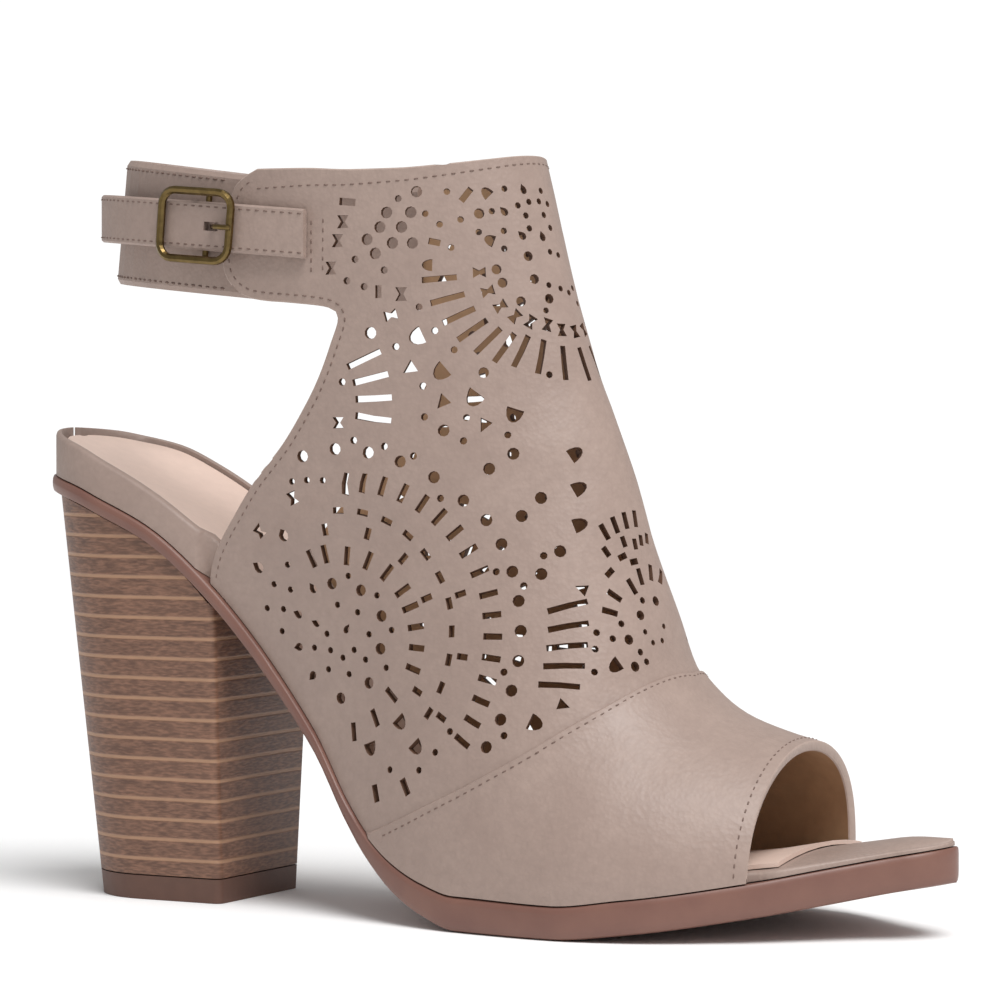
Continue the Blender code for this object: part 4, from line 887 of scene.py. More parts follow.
def tint(colour):
    """Colour for a socket: a channel as it is, or three numbers with full cover."""
    return colour if isinstance(colour, Channel) else (*colour, 1.0)


def leather(name, colour, light, roughness=0.5, grain=950.0, depth=0.00009):
    """Fine pebbled leather, a little mottled."""
    finish = Finish(name, roughness)
    cloud = finish.range(finish.noise(55.0, 4.0), 0.32, 0.68)
    fine = finish.range(finish.noise(420.0, 2.0), 0.3, 0.7)
    pebble = finish.grain(grain)
    base = finish.mix(cloud * 0.45, colour, light)
    dark = tuple(0.80 * c for c in colour)
    finish.set("Base Color", finish.mix(fine * 0.30 + pebble * 0.22, base, dark))
    finish.set("Roughness", finish.range(cloud, 0.0, 1.0, roughness - 0.05, roughness + 0.06))
    finish.bump(pebble * 0.7 + fine * 0.5, depth)
    return finish.material


def plain(name, colour, roughness, metallic=0.0, scale=300.0, depth=0.00004, change=0.12):
    """One colour with slight unevenness."""
    finish = Finish(name, roughness, metallic)
    cloud = finish.range(finish.noise(scale, 3.0), 0.3, 0.7)
    finish.set("Base Color", finish.mix(cloud, colour, tuple((1 - change) * c for c in colour)))
    finish.bump(cloud, depth)
    return finish.material


def outsole_finish(colour, light):
    """Moulded sole, its brown mottled with paler patches."""
    finish = Finish("outsole_brown", 0.42)
    cloud = finish.range(finish.noise(90.0, 4.0), 0.3, 0.7)
    finish.set("Base Color", finish.mix(cloud * 0.5, colour, light))
    finish.bump(finish.noise(700.0, 2.0), 0.00004)
    return finish.material


def stacked_finish(colours, pitch):
    """Stacked layers: broad dark bands with flecks, thin pale lines between them."""
    finish = Finish("stacked_heel", 0.5)
    split = finish.node("ShaderNodeSeparateXYZ", {}, {0: finish.place}, 2)
    wander = finish.noise(24.0, 2.0) * (0.5 * MM)
    level = (split + wander) * (1 / pitch)
    phase = finish.node("ShaderNodeMath", {"operation": "FRACT"}, {0: level})
    edge = finish.range(phase, 0.0, 0.06) * finish.range(phase, 0.16, 0.24, 1.0, 0.0)
    stretch = finish.node(
        "ShaderNodeMapping", {}, {"Vector": finish.place, "Scale": (1.0, 1.0, 5.0)}
    )
    fleck = finish.range(finish.noise(420.0, 4.0, stretch), 0.40, 0.66)
    cloud = finish.range(finish.noise(150.0, 3.0, stretch), 0.3, 0.7)
    flecked = fleck * 0.55 + cloud * 0.25
    base = finish.mix(flecked, tuple(colours.heel), tuple(colours.heel_light))
    finish.set("Base Color", finish.mix(edge * 0.7, base, tuple(colours.heel_line)))
    finish.bump(edge * -0.8 + fleck * 0.3, 0.00012)
    return finish.material


def tidy_selection():
    if bpy.context.object and bpy.context.object.mode != "OBJECT":
        bpy.ops.object.mode_set(mode="OBJECT")
    bpy.ops.object.select_all(action="DESELECT")


def new_piece(name, points, faces, materials, replaced=()):
    """Finished piece from shoe places, moved to the frame's origin."""
    data = bpy.data.meshes.new(name)
    places = np.asarray(points, float) - (SHOE_LENGTH / 2, 0, 0)
    data.from_pydata(places.tolist(), [], faces)
    for material in materials:
        data.materials.append(material)
    piece = bpy.data.objects.new(name, data)
    bpy.context.scene.collection.objects.link(piece)
    data.shade_smooth()
    settle(piece, replaced)
    return piece


def settle(piece, replaced=()):
    """Rides with the shoe and stands for its nodes, which it hides."""
    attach(piece, "root")
    if replaced:
        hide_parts(*replaced)


def pattern_mesh():
    """Flat pattern with its cuts: places and faces."""
    border = flat(*upper_border())
    places = border.tolist()
    edges = [(i, (i + 1) % len(border)) for i in range(len(border))]
    seam_turns = np.linspace(-89.6, 89.6, 121)
    seam_line = flat(seam_turns, seam_rows(seam_turns))
    for distance, _ in SEAM_PROFILE:
        start = len(places)
        places += (seam_line - (0, distance)).tolist()
        edges += [(start + i, start + i + 1) for i in range(len(seam_line) - 1)]
    holes = hole_outlines(border)
    for hole in holes:
        start = len(places)
        places += hole.tolist()
        edges += [(start + i, start + (i + 1) % len(hole)) for i in range(len(hole))]
    kept = np.array(places)
    lows, highs = kept.min(axis=0), kept.max(axis=0)
    grid = PATTERN_GRID * 1
    cells = np.stack(np.meshgrid(
        np.arange(lows[0], highs[0], grid), np.arange(lows[1], highs[1], grid)
    ), -1).reshape(-1, 2)
    cells = cells[inside(border, cells)]
    near = np.array([np.hypot(*(kept - cell).T).min() for cell in cells])
    places += cells[near > 0.45 * grid].tolist()
    result = delaunay_2d_cdt([Vector(p) for p in places], edges, [], 1, 1e-7)
    pattern = np.array([tuple(p) for p in result[0]])
    faces = [list(face) for face in result[2]]
    middles = np.array([pattern[face].mean(axis=0) for face in faces])
    gone = np.zeros(len(faces), bool)
    for hole in holes:
        box = ((middles > hole.min(axis=0)) & (middles < hole.max(axis=0))).all(axis=1)
        index = np.where(box)[0]
        if len(index):
            gone[index] |= inside(hole, middles[index])
    known = {tuple(np.round(p, 7)) for p in border}
    on_border = {i for i, p in enumerate(pattern) if tuple(np.round(p, 7)) in known}
    return pattern, [face for face, out in zip(faces, gone) if not out], on_border


def turned_out(faces, points, normals):
    """The faces, each turned so that it looks outwards."""
    starts = np.array([face[0] for face in faces])
    seconds = np.array([face[1] for face in faces])
    thirds = np.array([face[2] for face in faces])
    ways = np.cross(points[seconds] - points[starts], points[thirds] - points[starts])
    outwards = (ways * normals[starts]).sum(-1) > 0
    return [face if out else face[::-1] for face, out in zip(faces, outwards)]


def edge_walls(faces, outer, inner, normals, rounded):
    """Walls between the two faces at every edge: rounded at free edges, straight in the cuts."""
    used = {(a, b) for face in faces for a, b in zip(face, face[1:] + face[:1])}
    rims = [(a, b) for a, b in used if (b, a) not in used]
    after, before = dict(rims), {b: a for a, b in rims}
    added, chains = [], {}
    for a in after:
        if a not in rounded:
            continue
        run = unit(outer[after[a]] - outer[before[a]])
        away = np.cross(run, normals[a])
        chains[a] = []
        for share, bulge in EDGE_PROFILE:
            chains[a].append(2 * len(outer) + len(added))
            added.append(outer[a] + (inner[a] - outer[a]) * share + away * EDGE_BULGE * bulge)
    walls, kinds = [], []
    for a, b in rims:
        chain_a = [a] + chains.get(a, []) + [a + len(outer)]
        chain_b = [b] + chains.get(b, []) + [b + len(outer)]
        if len(chain_a) != len(chain_b):
            walls.append([b] + chain_a + chain_b[:0:-1])
            kinds.append(FOLD)
            continue
        for k in range(len(chain_a) - 1):
            walls.append([chain_b[k], chain_a[k], chain_a[k + 1], chain_b[k + 1]])
            kinds.append(FOLD if len(chain_a) > 2 else CUT)
    return walls, kinds, np.array(added)


def make_upper(colours):
    """Perforated upper: flat pattern laid on the last, given its wall, step and rounded edges."""
    pattern, faces, on_border = pattern_mesh()
    turns, rows = unflat(pattern)
    points = skin(turns, rows)
    normals = outward(turns, rows, skin)
    if (normals[:, 1] * points[:, 1]).sum() < 0:
        normals = -normals
    below = (seam_rows(turns) - rows) * ROW_PITCH
    profile = np.array(SEAM_PROFILE)
    lift = np.interp(below, profile[:, 0], profile[:, 1]) * VAMP_STEP
    outer, inner = points + normals * lift[:, None], points - normals * WALL
    faces = turned_out(faces, outer, normals)
    rounded = {i for i in on_border if abs(turns[i]) < SOLE_TURN}
    walls, wall_kinds, added = edge_walls(faces, outer, inner, normals, rounded)
    lining = [[i + len(outer) for i in reversed(face)] for face in faces]
    kinds = [FACE] * len(faces) + [LINING] * len(faces) + wall_kinds
    materials = [
        leather("upper_leather", tuple(colours.leather), tuple(colours.pale_mottle_and_edge_highlight)),
        plain("upper_lining", tuple(colours.lining), 0.7),
        plain("cut_edge", tuple(colours.cut_edge), 0.75),
        # Folded edges: the same leather all in the paler taupe, a painted highlight along the
        # rounded edges
        leather("folded_edge_painted_highlight", tuple(colours.pale_mottle_and_edge_highlight), tuple(colours.pale_mottle_and_edge_highlight)),
    ]
    piece = new_piece(
        "perforated_upper", np.concatenate([outer, inner, added]), faces + lining + walls,
        materials, ["upper"],
    )
    piece.data.polygons.foreach_set("material_index", kinds)
    smooth = np.concatenate([normals, -normals])
    step = (lift > 0.02 * VAMP_STEP) & (lift < 0.98 * VAMP_STEP)
    shaft = lift <= 0.02 * VAMP_STEP
    loops = np.zeros((len(piece.data.loops), 3))
    for polygon in piece.data.polygons:
        ids = list(polygon.vertices)
        kind = kinds[polygon.index]
        on_step = kind == FACE and (step[ids].any() or len(set(shaft[ids])) > 1)
        if kind in (FACE, LINING) and not on_step:
            loops[list(polygon.loop_indices)] = smooth[ids]
        else:
            loops[list(polygon.loop_indices)] = polygon.normal
    piece.data.normals_split_custom_set(loops.tolist())


def dashes(name, rows_of_places, normals, material, size):
    """Stitches as one mesh: a low capsule along the seam at every place."""
    length, width, height = size
    ring = ((-0.5, 0.0), (-0.28, 0.42), (0.28, 0.42), (0.5, 0.0), (0.28, -0.42), (-0.28, -0.42))
    points, faces = [], []
    for (place, run), normal in zip(rows_of_places, normals):
        side = unit(np.cross(normal, run))
        start = len(points)
        for u, v in ring:
            points.append(place + run * u * length + side * v * width - normal * 0.1 * MM)
        for u in (-0.3, 0.3):
            points.append(place + run * u * length * 0.9 + normal * height)
        top_back, top_front = start + 6, start + 7
        faces += [
            (start, top_back, start + 1), (start + 1, top_back, top_front, start + 2),
            (start + 2, top_front, start + 3), (start + 3, top_front, start + 4),
            (start + 4, top_front, top_back, start + 5), (start + 5, top_back, start),
            (start, start + 1, start + 2, start + 3, start + 4, start + 5),
        ]
    return new_piece(name, points, faces, [material])


def along_line(line, normals, pitch):
    """Places, directions and normals at an even pitch along a line."""
    line, normals = np.asarray(line), np.asarray(normals)
    reach = np.concatenate([[0], np.cumsum(np.linalg.norm(np.diff(line, axis=0), axis=1))])
    spots = np.arange(0.5 * pitch, reach[-1], pitch)
    at = np.stack([np.interp(spots, reach, line[:, k]) for k in range(3)], -1)
    up = unit(np.stack([np.interp(spots, reach, normals[:, k]) for k in range(3)], -1))
    ahead = np.stack([np.interp(spots + 0.2 * MM, reach, line[:, k]) for k in range(3)], -1)
    behind = np.stack([np.interp(spots - 0.2 * MM, reach, line[:, k]) for k in range(3)], -1)
    runs = unit(ahead - behind)
    return list(zip(at, runs)), list(up)


def upper_line(turns, rows, lift=0.0):
    """Places and normals of a line on the upper's face."""
    turns, rows = np.asarray(turns, float), np.asarray(rows, float)
    points, normals = skin(turns, rows), outward(turns, rows, skin)
    if (normals[:, 1] * points[:, 1]).sum() < 0:
        normals = -normals
    return points + normals * lift, normals


def inset_line(turns, rows, distance, lift=0.0):
    """A line on the upper moved to its right over the face."""
    points, normals = upper_line(turns, rows, lift)
    runs = unit(np.gradient(points, axis=0))
    return points + np.cross(runs, normals) * distance, normals


def make_upper_stitches(thread_and_hole_shade, sizes):
    """Rows of stitches beside the vamp's edge, the openings, the tabs and the collar."""
    rows_of_places, normals = [], []
    pitch = sizes.stitch_pitch

    def add(line):
        spots, ups = along_line(line[0], line[1], pitch)
        rows_of_places.extend(spots)
        normals.extend(ups)

    turns = np.linspace(-88, 88, 161)
    seam = seam_rows(turns)
    add(upper_line(turns, seam - 1.7 * MM / ROW_PITCH, VAMP_STEP))
    toe = toe_rows(turns)
    add(upper_line(turns, toe + 1.9 * MM / ROW_PITCH, VAMP_STEP))
    back_turns, back = back_path(1.6 * MM)
    for side in (-1, 1):
        add(inset_line(side * back_turns[1:], back[1:], -side * 1.6 * MM))
    for first, last in BOX_STITCH:
        share = np.linspace(0, 1, 21)
        xs = (first[0] + (last[0] - first[0]) * share) * MM
        box_rows, box_turns = locate(xs, (first[1] + (last[1] - first[1]) * share) * MM)
        add(upper_line(-box_turns, box_rows))
    corner = back_turns[-1]
    collar = np.linspace(-corner + 1.5, corner - 1.5, 101)
    add(upper_line(collar, collar_rows(collar) - 1.6 * MM / ROW_PITCH))
    size = (sizes.stitch_length, STITCH_WIDTH, STITCH_HEIGHT)
    return dashes("upper_stitches", rows_of_places, normals, thread_and_hole_shade, size)


def end_factor(x):
    """Share of the full width that is left where heel and toe are rounded in plan."""
    factor = 1.0
    if x < HEEL_ROUND:
        factor *= math.sqrt(max(0.0, 1 - ((HEEL_ROUND - x) / HEEL_ROUND) ** 2))
    toe = SHOE_LENGTH - x
    if toe < TOE_ROUND:
        factor *= math.sqrt(max(0.0, 1 - ((TOE_ROUND - toe) / TOE_ROUND) ** 2))
    return factor


def stations():
    """Places along the shoe where the sole and what lies on it have their sections."""
    heel = [HEEL_ROUND * (1 - math.cos(math.radians(a))) for a in range(0, 90, 5)]
    toe = [TOE_ROUND * (1 - math.cos(math.radians(a))) for a in range(0, 90, 8)]
    body_length = SHOE_LENGTH - HEEL_ROUND - TOE_ROUND
    count = round(body_length / SOLE_STEP)
    body = [HEEL_ROUND + body_length * i / count for i in range(count + 1)]
    turns = []
    for row, following in zip(BED_ROWS, BED_ROWS[1:]):
        if row[-1] != following[-1]:
            turns += [row[0] * SHOE_LENGTH, following[0] * SHOE_LENGTH]
    places = heel + body + [SHOE_LENGTH - x for x in toe]
    places = [x for x in places if all(abs(x - turn) > 0.3 * SOLE_STEP for turn in turns)]
    return sorted(places + turns)


def edge_pair(x):
    """Lateral and medial edge of the sole at one place, in plan."""
    lateral = -BALL_WIDTH * float(sole_value("lateral", x))
    medial = BALL_WIDTH * float(sole_value("medial", x))
    middle, half = (lateral + medial) / 2, (medial - lateral) / 2
    half = max(half * end_factor(x), NOSE_WIDTH / 2)
    return Vector((x, middle - half)), Vector((x, middle + half))


def sole_outline(inset):
    """Pairs of lateral and medial plan points, moved in from the sole's edge by inset(x)."""
    pairs = [edge_pair(x) for x in stations()]
    loop = [p[0] for p in pairs] + [p[1] for p in reversed(pairs)]
    moved = []
    for i, point in enumerate(loop):
        run = (loop[(i + 1) % len(loop)] - loop[i - 1]).normalized()
        inward = Vector((-run.y, run.x))
        moved.append(point + inward * inset(point.x))
    count = len(pairs)
    return list(zip(moved[:count], reversed(moved[count:])))


def across(pair, distance, from_medial=False):
    """Plan point at a distance in from one edge of a section, held short of its middle."""
    lateral, medial = pair
    width = (medial - lateral).length
    share = min(distance / width, 0.42)
    return medial.lerp(lateral, share) if from_medial else lateral.lerp(medial, share)


def loft(name, rings, finish, node):
    """Closed solid through rings of like point counts: a grid bent to them and capped."""
    tidy_selection()
    bpy.ops.mesh.primitive_grid_add(x_subdivisions=len(rings[0]), y_subdivisions=len(rings) - 1)
    piece = bpy.context.object
    piece.name = piece.data.name = name
    places = np.array([[tuple(p) for p in list(ring) + [ring[0]]] for ring in rings])
    places[..., 0] -= SHOE_LENGTH / 2
    if len(piece.data.vertices) != places.shape[0] * places.shape[1]:
        raise RuntimeError("the grid has another point count than the rings")
    piece.data.vertices.foreach_set("co", places.ravel())
    bpy.ops.object.mode_set(mode="EDIT")
    bpy.ops.mesh.select_all(action="SELECT")
    bpy.ops.mesh.remove_doubles(threshold=WELD)
    bpy.ops.mesh.fill_holes(sides=0)
    bpy.ops.mesh.normals_make_consistent(inside=False)
    bpy.ops.object.mode_set(mode="OBJECT")
    bpy.ops.object.shade_smooth_by_angle(angle=math.radians(38))
    piece.data.materials.append(finish)
    settle(piece, [node])
    return piece


def make_outsole(finish):
    """Moulded sole with its arch, toe spring and rounded edge."""
    rings = []
    for pair in sole_outline(lambda x: 0.0):
        profile = (
            (2 * SOLE_ROUND, underside, 0.0),
            (SOLE_ROUND, underside, 0.08 * SOLE_ROUND),
            (0.35 * SOLE_ROUND, underside, 0.35 * SOLE_ROUND),
            (0.08 * SOLE_ROUND, underside, SOLE_ROUND),
            (0.0, underside, 1.8 * SOLE_ROUND),
            (0.0, sole_top, -1.3 * SOLE_ROUND),
            (0.12 * SOLE_ROUND, sole_top, -0.55 * SOLE_ROUND),
            (0.45 * SOLE_ROUND, sole_top, -0.14 * SOLE_ROUND),
            (SOLE_ROUND, sole_top, 0.0),
        )
        lateral, medial = [], []
        for distance, level, lift in profile:
            near = across(pair, distance)
            far = across(pair, distance, True)
            lateral.append(Vector((near.x, near.y, float(level(near.x)) + lift)))
            medial.append(Vector((far.x, far.y, float(level(far.x)) + lift)))
        rings.append(lateral + list(reversed(medial)))
    return loft("moulded_outsole", rings, finish, "outsole")


def rim_top(x):
    """Top of the wrapped footbed's edge."""
    return float(sole_top(x)) + RIM_HEIGHT * bed_value("rim", x)


def footbed_inset(x):
    """The footbed is at the sole's edge at seat and toe and inside the upper between them."""
    inside = FEATHER_INSET + WALL + 2 * FIT_GAP
    return RIM_INSET + (inside - RIM_INSET) * bed_value("inside", x)


def bed_level(x, share):
    """Top of the footbed within its rim; share is 0 at its edge and 1 in the middle."""
    swell = TOE_CROWN * bed_value("crown", x) - SEAT_CUP * bed_value("cup", x)
    recess = (SOCK_DROP + SOCK_THICKNESS + FIT_GAP) * bed_value("recess", x)
    return rim_top(x) - recess + swell * share * (2 - share)


def make_footbed(finish):
    """Insole board wrapped in leather, hollowed for the sock at the seat, swelled at the toe."""
    rings = []
    for pair in sole_outline(footbed_inset):
        width = (pair[1] - pair[0]).length
        rim = min(RIM_WIDTH, 0.2 * width)
        sides = []
        for side in (0, 1):
            edge, other = pair[side], pair[1 - side]
            floor = float(sole_top(edge.x)) + FIT_GAP
            top = rim_top(edge.x)
            round_off = min(1.1 * MM, 0.45 * (top - floor))
            points = [Vector((edge.x, edge.y, floor)), Vector((edge.x, edge.y, top - round_off))]
            for distance, drop in RIM_PROFILE:
                crest = edge.lerp(other, distance * rim / width)
                points.append(Vector((crest.x, crest.y, rim_top(crest.x) - drop * round_off)))
            for share in (0.0, 0.15, 0.35, 0.6, 0.85):
                spot = edge.lerp(other, (1.1 * rim + share * (0.5 * width - 1.1 * rim)) / width)
                points.append(Vector((spot.x, spot.y, bed_level(spot.x, share))))
            sides.append(points)
        rings.append(sides[0] + list(reversed(sides[1])))
    return loft("wrapped_footbed", rings, finish, "footbed")


def make_sock_lining(finish):
    """Thin sock that follows the footbed's hollow from the seat to the toe opening."""
    rings = []
    edge_inset = 1.1 * RIM_WIDTH + FIT_GAP
    for pair in sole_outline(lambda x: footbed_inset(x) + edge_inset):
        if pair[0].x > SOCK_FRONT * SHOE_LENGTH:
            break
        if pair[1].y - pair[0].y < edge_inset:
            continue
        over, under = [], []
        for share in (0.0, 0.02, 0.1, 0.2, 0.35, 0.5, 0.65, 0.8, 0.9, 0.98, 1.0):
            spot = pair[0].lerp(pair[1], share)
            level = bed_level(spot.x, 1 - abs(2 * share - 1)) + FIT_GAP
            under.append(Vector((spot.x, spot.y, level)))
            over.append(Vector((spot.x, spot.y, level + SOCK_THICKNESS)))
        rings.append(under + list(reversed(over)))
    return loft("cream_sock", rings, finish, "sock_lining")


def heel_plan(back, front, half, shift):
    """Pairs of plan points of the heel: rounded at the back, flat at the breast."""
    length = front - back
    bend = HEEL_BACK_SHARE * length
    turns = [bend * (1 - math.cos(math.radians(a))) for a in range(0, 91, 5)]
    flat_end = length - HEEL_CORNER
    sides = [bend + (flat_end - bend) * i / 10 for i in range(1, 11)]
    corner = [flat_end + HEEL_CORNER * math.sin(math.radians(a)) for a in (20, 40, 60, 75, 90)]
    pairs = []
    for x in turns + sides + corner:
        reach = half
        if x < bend:
            reach *= math.sqrt(max(0.0, 1 - ((bend - x) / bend) ** 2))
        if x > flat_end:
            reach -= HEEL_CORNER - math.sqrt(max(0.0, HEEL_CORNER ** 2 - (x - flat_end) ** 2))
        reach = max(reach, NOSE_WIDTH / 2)
        pairs.append((Vector((back + x, shift - reach)), Vector((back + x, shift + reach))))
    return pairs


def make_heel_block(finish):
    """Block that tapers from the seat down to the toplift, its top cut to the sole."""
    top = heel_plan(*HEEL_TOP, HEEL_TOP_HALF, 0.0)
    foot = heel_plan(*HEEL_FOOT, HEEL_FOOT_HALF, HEEL_FOOT_SHIFT)
    rings = []
    base = TOPLIFT + FIT_GAP
    seats = np.array(stations())
    for upper_pair, lower_pair in zip(top, foot):
        side_rows = []
        for high, low in zip(upper_pair, lower_pair):
            crown = float(np.interp(high.x, seats, underside(seats))) - FIT_GAP
            column = []
            for share in np.linspace(0, 1, 9):
                level = base + (crown - base) * share
                reach = level / HEEL_RISE
                spot = low.lerp(high, min(reach, 1.0))
                column.append(Vector((spot.x, spot.y, level)))
            side_rows.append(column)
        rings.append(side_rows[0] + list(reversed(side_rows[1])))
    return loft("stacked_heel_block", rings, finish, "heel_block")


def make_toplift(finish):
    """Top piece under the heel block, flat on the floor."""
    rings = []
    top = heel_plan(*HEEL_TOP, HEEL_TOP_HALF, 0.0)
    foot = heel_plan(*HEEL_FOOT, HEEL_FOOT_HALF, HEEL_FOOT_SHIFT)
    for upper_pair, lower_pair in zip(top, foot):
        ring = []
        for level, side in ((0.0, 0), (TOPLIFT, 0), (TOPLIFT, 1), (0.0, 1)):
            spot = lower_pair[side].lerp(upper_pair[side], level / HEEL_RISE)
            ring.append(Vector((spot.x, spot.y, level)))
        rings.append(ring)
    return loft("rubber_toplift", rings, finish, "toplift")


def tab_back():
    """Place where the band comes out of the upper's tabs."""
    return SHOE_LENGTH * TAB_PLACE


def band_line(level, lift):
    """Line round the band's outer face at a share of its height, from tab to tab."""
    centre, places = tab_back(), []
    reach = CUFF_REACH + CUFF_LEAN * (1 - level)
    back, front = CUFF_RISE
    for side in (-1, 1):
        part = []
        for turn in np.radians(np.linspace(2, 90, 45)):
            x = centre - reach * math.sin(turn)
            share = (x - centre + CUFF_REACH) / (CUFF_REACH + CUFF_LAP)
            high = COLLAR_HEIGHT + back + (front - back) * min(share * 1.25, 1.0)
            low = COLLAR_HEIGHT + back + (front - back) * share - CUFF_WIDTH
            row, at = locate(centre, low + (high - low) * level)
            half = abs(form(side * at, row)[1]) - WALL - FIT_GAP
            part.append((x, side * half * math.cos(turn), low + (high - low) * level))
        places += part if side < 0 else part[-2::-1]
    line = np.array(places)
    runs = unit(np.gradient(line, axis=0))
    normals = unit(np.cross(runs, (0.0, 0.0, 1.0)))
    if normals[len(line) // 2, 0] > 0:
        normals = -normals
    return line + normals * lift, normals


def strap_line():
    """Places of the strap's inner face, from its sewn end to its tip."""
    centre = tab_back()
    reach = CUFF_REACH + CUFF_LEAN * 0.4
    back, front_rise = CUFF_RISE
    share = CUFF_REACH / (CUFF_REACH + CUFF_LAP)
    high = COLLAR_HEIGHT + back + (front_rise - back) * min(share * 1.25, 1.0)
    low = COLLAR_HEIGHT + back + (front_rise - back) * share - CUFF_WIDTH
    row, turn = locate(centre, low + (high - low) * 0.6)
    half = abs(form(-turn, row)[1]) - WALL - FIT_GAP
    front, tip = centre + STRAP_LAP, centre - STRAP_REACH
    spots = []
    for x in np.linspace(front, tip, 25):
        share = (front - x) / (front - tip)
        height = COLLAR_HEIGHT - STRAP_DROP[0] + (STRAP_DROP[0] - STRAP_DROP[1]) * share
        if x > centre:
            row, turn = locate(x, height)
            y = -form(-turn, row)[1]
        else:
            y = half * math.sqrt(max(0.0, 1 - ((centre - x) / reach) ** 2)) + WALL + FIT_GAP
        past = max(0.0, (centre - BUCKLE_BACK - x) / (STRAP_REACH - BUCKLE_BACK))
        lift = FIT_GAP + STRAP_LIFT * math.sin(math.pi * min(share * 1.6, 1.0) / 2)
        spots.append((x, -y - lift - TIP_LIFT * past ** 1.5, height))
    return np.array(spots)


def strap_rows(drop, lift):
    """Line along the strap's outer face, drop above its middle."""
    line = strap_line()
    normals = unit(np.cross(unit(np.gradient(line, axis=0)), (0.0, 0.0, 1.0)))
    normals = np.where(normals[:, 1:2] > 0, -normals, normals)
    return line + normals * (STRAP_THICKNESS + lift) + (0.0, 0.0, drop), normals


def make_band_stitches(thread_and_hole_shade, sizes):
    """Stitch rows along the band's and the strap's edges."""
    rows_of_places, normals = [], []
    lines = [band_line(level, 0.05 * MM) for level in (0.06, 0.94)]
    lines += [strap_rows(side * (0.5 * STRAP_WIDTH - 1.2 * MM), 0.02 * MM) for side in (-1, 1)]
    for line, ups in lines:
        spots, at = along_line(line, ups, sizes.stitch_pitch)
        rows_of_places.extend(spots)
        normals.extend(at)
    size = (sizes.stitch_length, STITCH_WIDTH, STITCH_HEIGHT)
    return dashes("band_stitches", rows_of_places, normals, thread_and_hole_shade, size)


def dress_node(name, finish):
    """Gives a node that stays its finish."""
    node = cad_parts[name]
    node.data.materials.clear()
    node.data.materials.append(finish)


def make_soft_light(name, place, target, size, power):
    """Square soft light aimed at a place."""
    lamp = bpy.data.lights.new(name, "AREA")
    lamp.shape = "SQUARE"
    lamp.size = size
    lamp.energy = power
    holder = bpy.data.objects.new(name, lamp)
    bpy.context.scene.collection.objects.link(holder)
    holder.location = place
    way = Vector(target) - Vector(place)
    holder.rotation_euler = way.to_track_quat("-Z", "Y").to_euler()
    return holder


class SandalSizes(bpy.types.PropertyGroup):
    """Sizes that a user would change."""

    stitch_pitch: bpy.props.FloatProperty(
        name="Stitch pitch", description="From one stitch to the next", default=2.2 * MM,
        unit="LENGTH",
    )
    stitch_length: bpy.props.FloatProperty(
        name="Stitch length", description="Length of a stitch that shows", default=1.35 * MM,
        unit="LENGTH",
    )
    layer_pitch: bpy.props.FloatProperty(
        name="Layer pitch", description="From one heel layer to the next", default=4.9 * MM,
        unit="LENGTH",
    )


def colour_property(name, description, card):
    return bpy.props.FloatVectorProperty(
        name=name, description=description, default=linear(card), subtype="COLOR", min=0, max=1
    )


class SandalColours(bpy.types.PropertyGroup):
    """Colours that a user would change."""

    leather: colour_property("Leather", "Taupe of the upper", (158, 137, 127))
    # Paler taupe: random mottling of the leather, and on the folded edges a painted highlight where
    # the rounded edge catches light
    pale_mottle_and_edge_highlight: colour_property("Pale leather", "Paler taupe of edges", (174, 153, 142))
    lining: colour_property("Lining", "Inside of the upper", (182, 146, 112))
    cut_edge: colour_property("Cut edge", "Walls of the cuts", (104, 74, 56))
    # Stitch colour: the thread's tone darkened with painted shade of the stitch holes
    thread_and_hole_shade: colour_property("Thread", "Stitching", (122, 100, 90))
    sock: colour_property("Sock", "Sock lining", (224, 198, 184))
    outsole: colour_property("Outsole", "Moulded sole", (117, 81, 71))
    outsole_light: colour_property("Pale outsole", "Its paler places", (136, 98, 84))
    heel: colour_property("Heel", "Dark bands of the heel", (92, 64, 51))
    heel_light: colour_property("Heel flecks", "Flecks in the bands", (150, 110, 88))
    heel_line: colour_property("Heel lines", "Thin pale lines", (182, 142, 112))
    toplift: colour_property("Toplift", "Top piece", (98, 68, 56))
    brass: colour_property("Brass", "Antique brass", (124, 104, 66))
    floor: colour_property("Floor", "Studio floor", (252, 252, 252))


def settings():
    scene = bpy.context.scene
    return scene.sandal_colours, scene.sandal_sizes


class SANDAL_OT_upper(bpy.types.Operator):
    """Perforated hollow upper with its vamp step"""

    bl_idname = "sandal.upper"
    bl_label = "Upper"

    def execute(self, context):
        colours, _ = settings()
        make_upper(colours)
        return {"FINISHED"}


class SANDAL_OT_stitches(bpy.types.Operator):
    """Stitch rows on the upper"""

    bl_idname = "sandal.stitches"
    bl_label = "Stitches"

    def execute(self, context):
        colours, sizes = settings()
        # Stitches take the darker stitch colour: thread and painted shade of its holes in one
        make_upper_stitches(plain("thread_and_hole_shade", tuple(colours.thread_and_hole_shade), 0.6), sizes)
        make_band_stitches(plain("band_thread", tuple(colours.thread_and_hole_shade), 0.6), sizes)
        return {"FINISHED"}


class SANDAL_OT_sole(bpy.types.Operator):
    """Moulded outsole"""

    bl_idname = "sandal.sole"
    bl_label = "Outsole"

    def execute(self, context):
        colours, _ = settings()
        make_outsole(outsole_finish(tuple(colours.outsole), tuple(colours.outsole_light)))
        return {"FINISHED"}


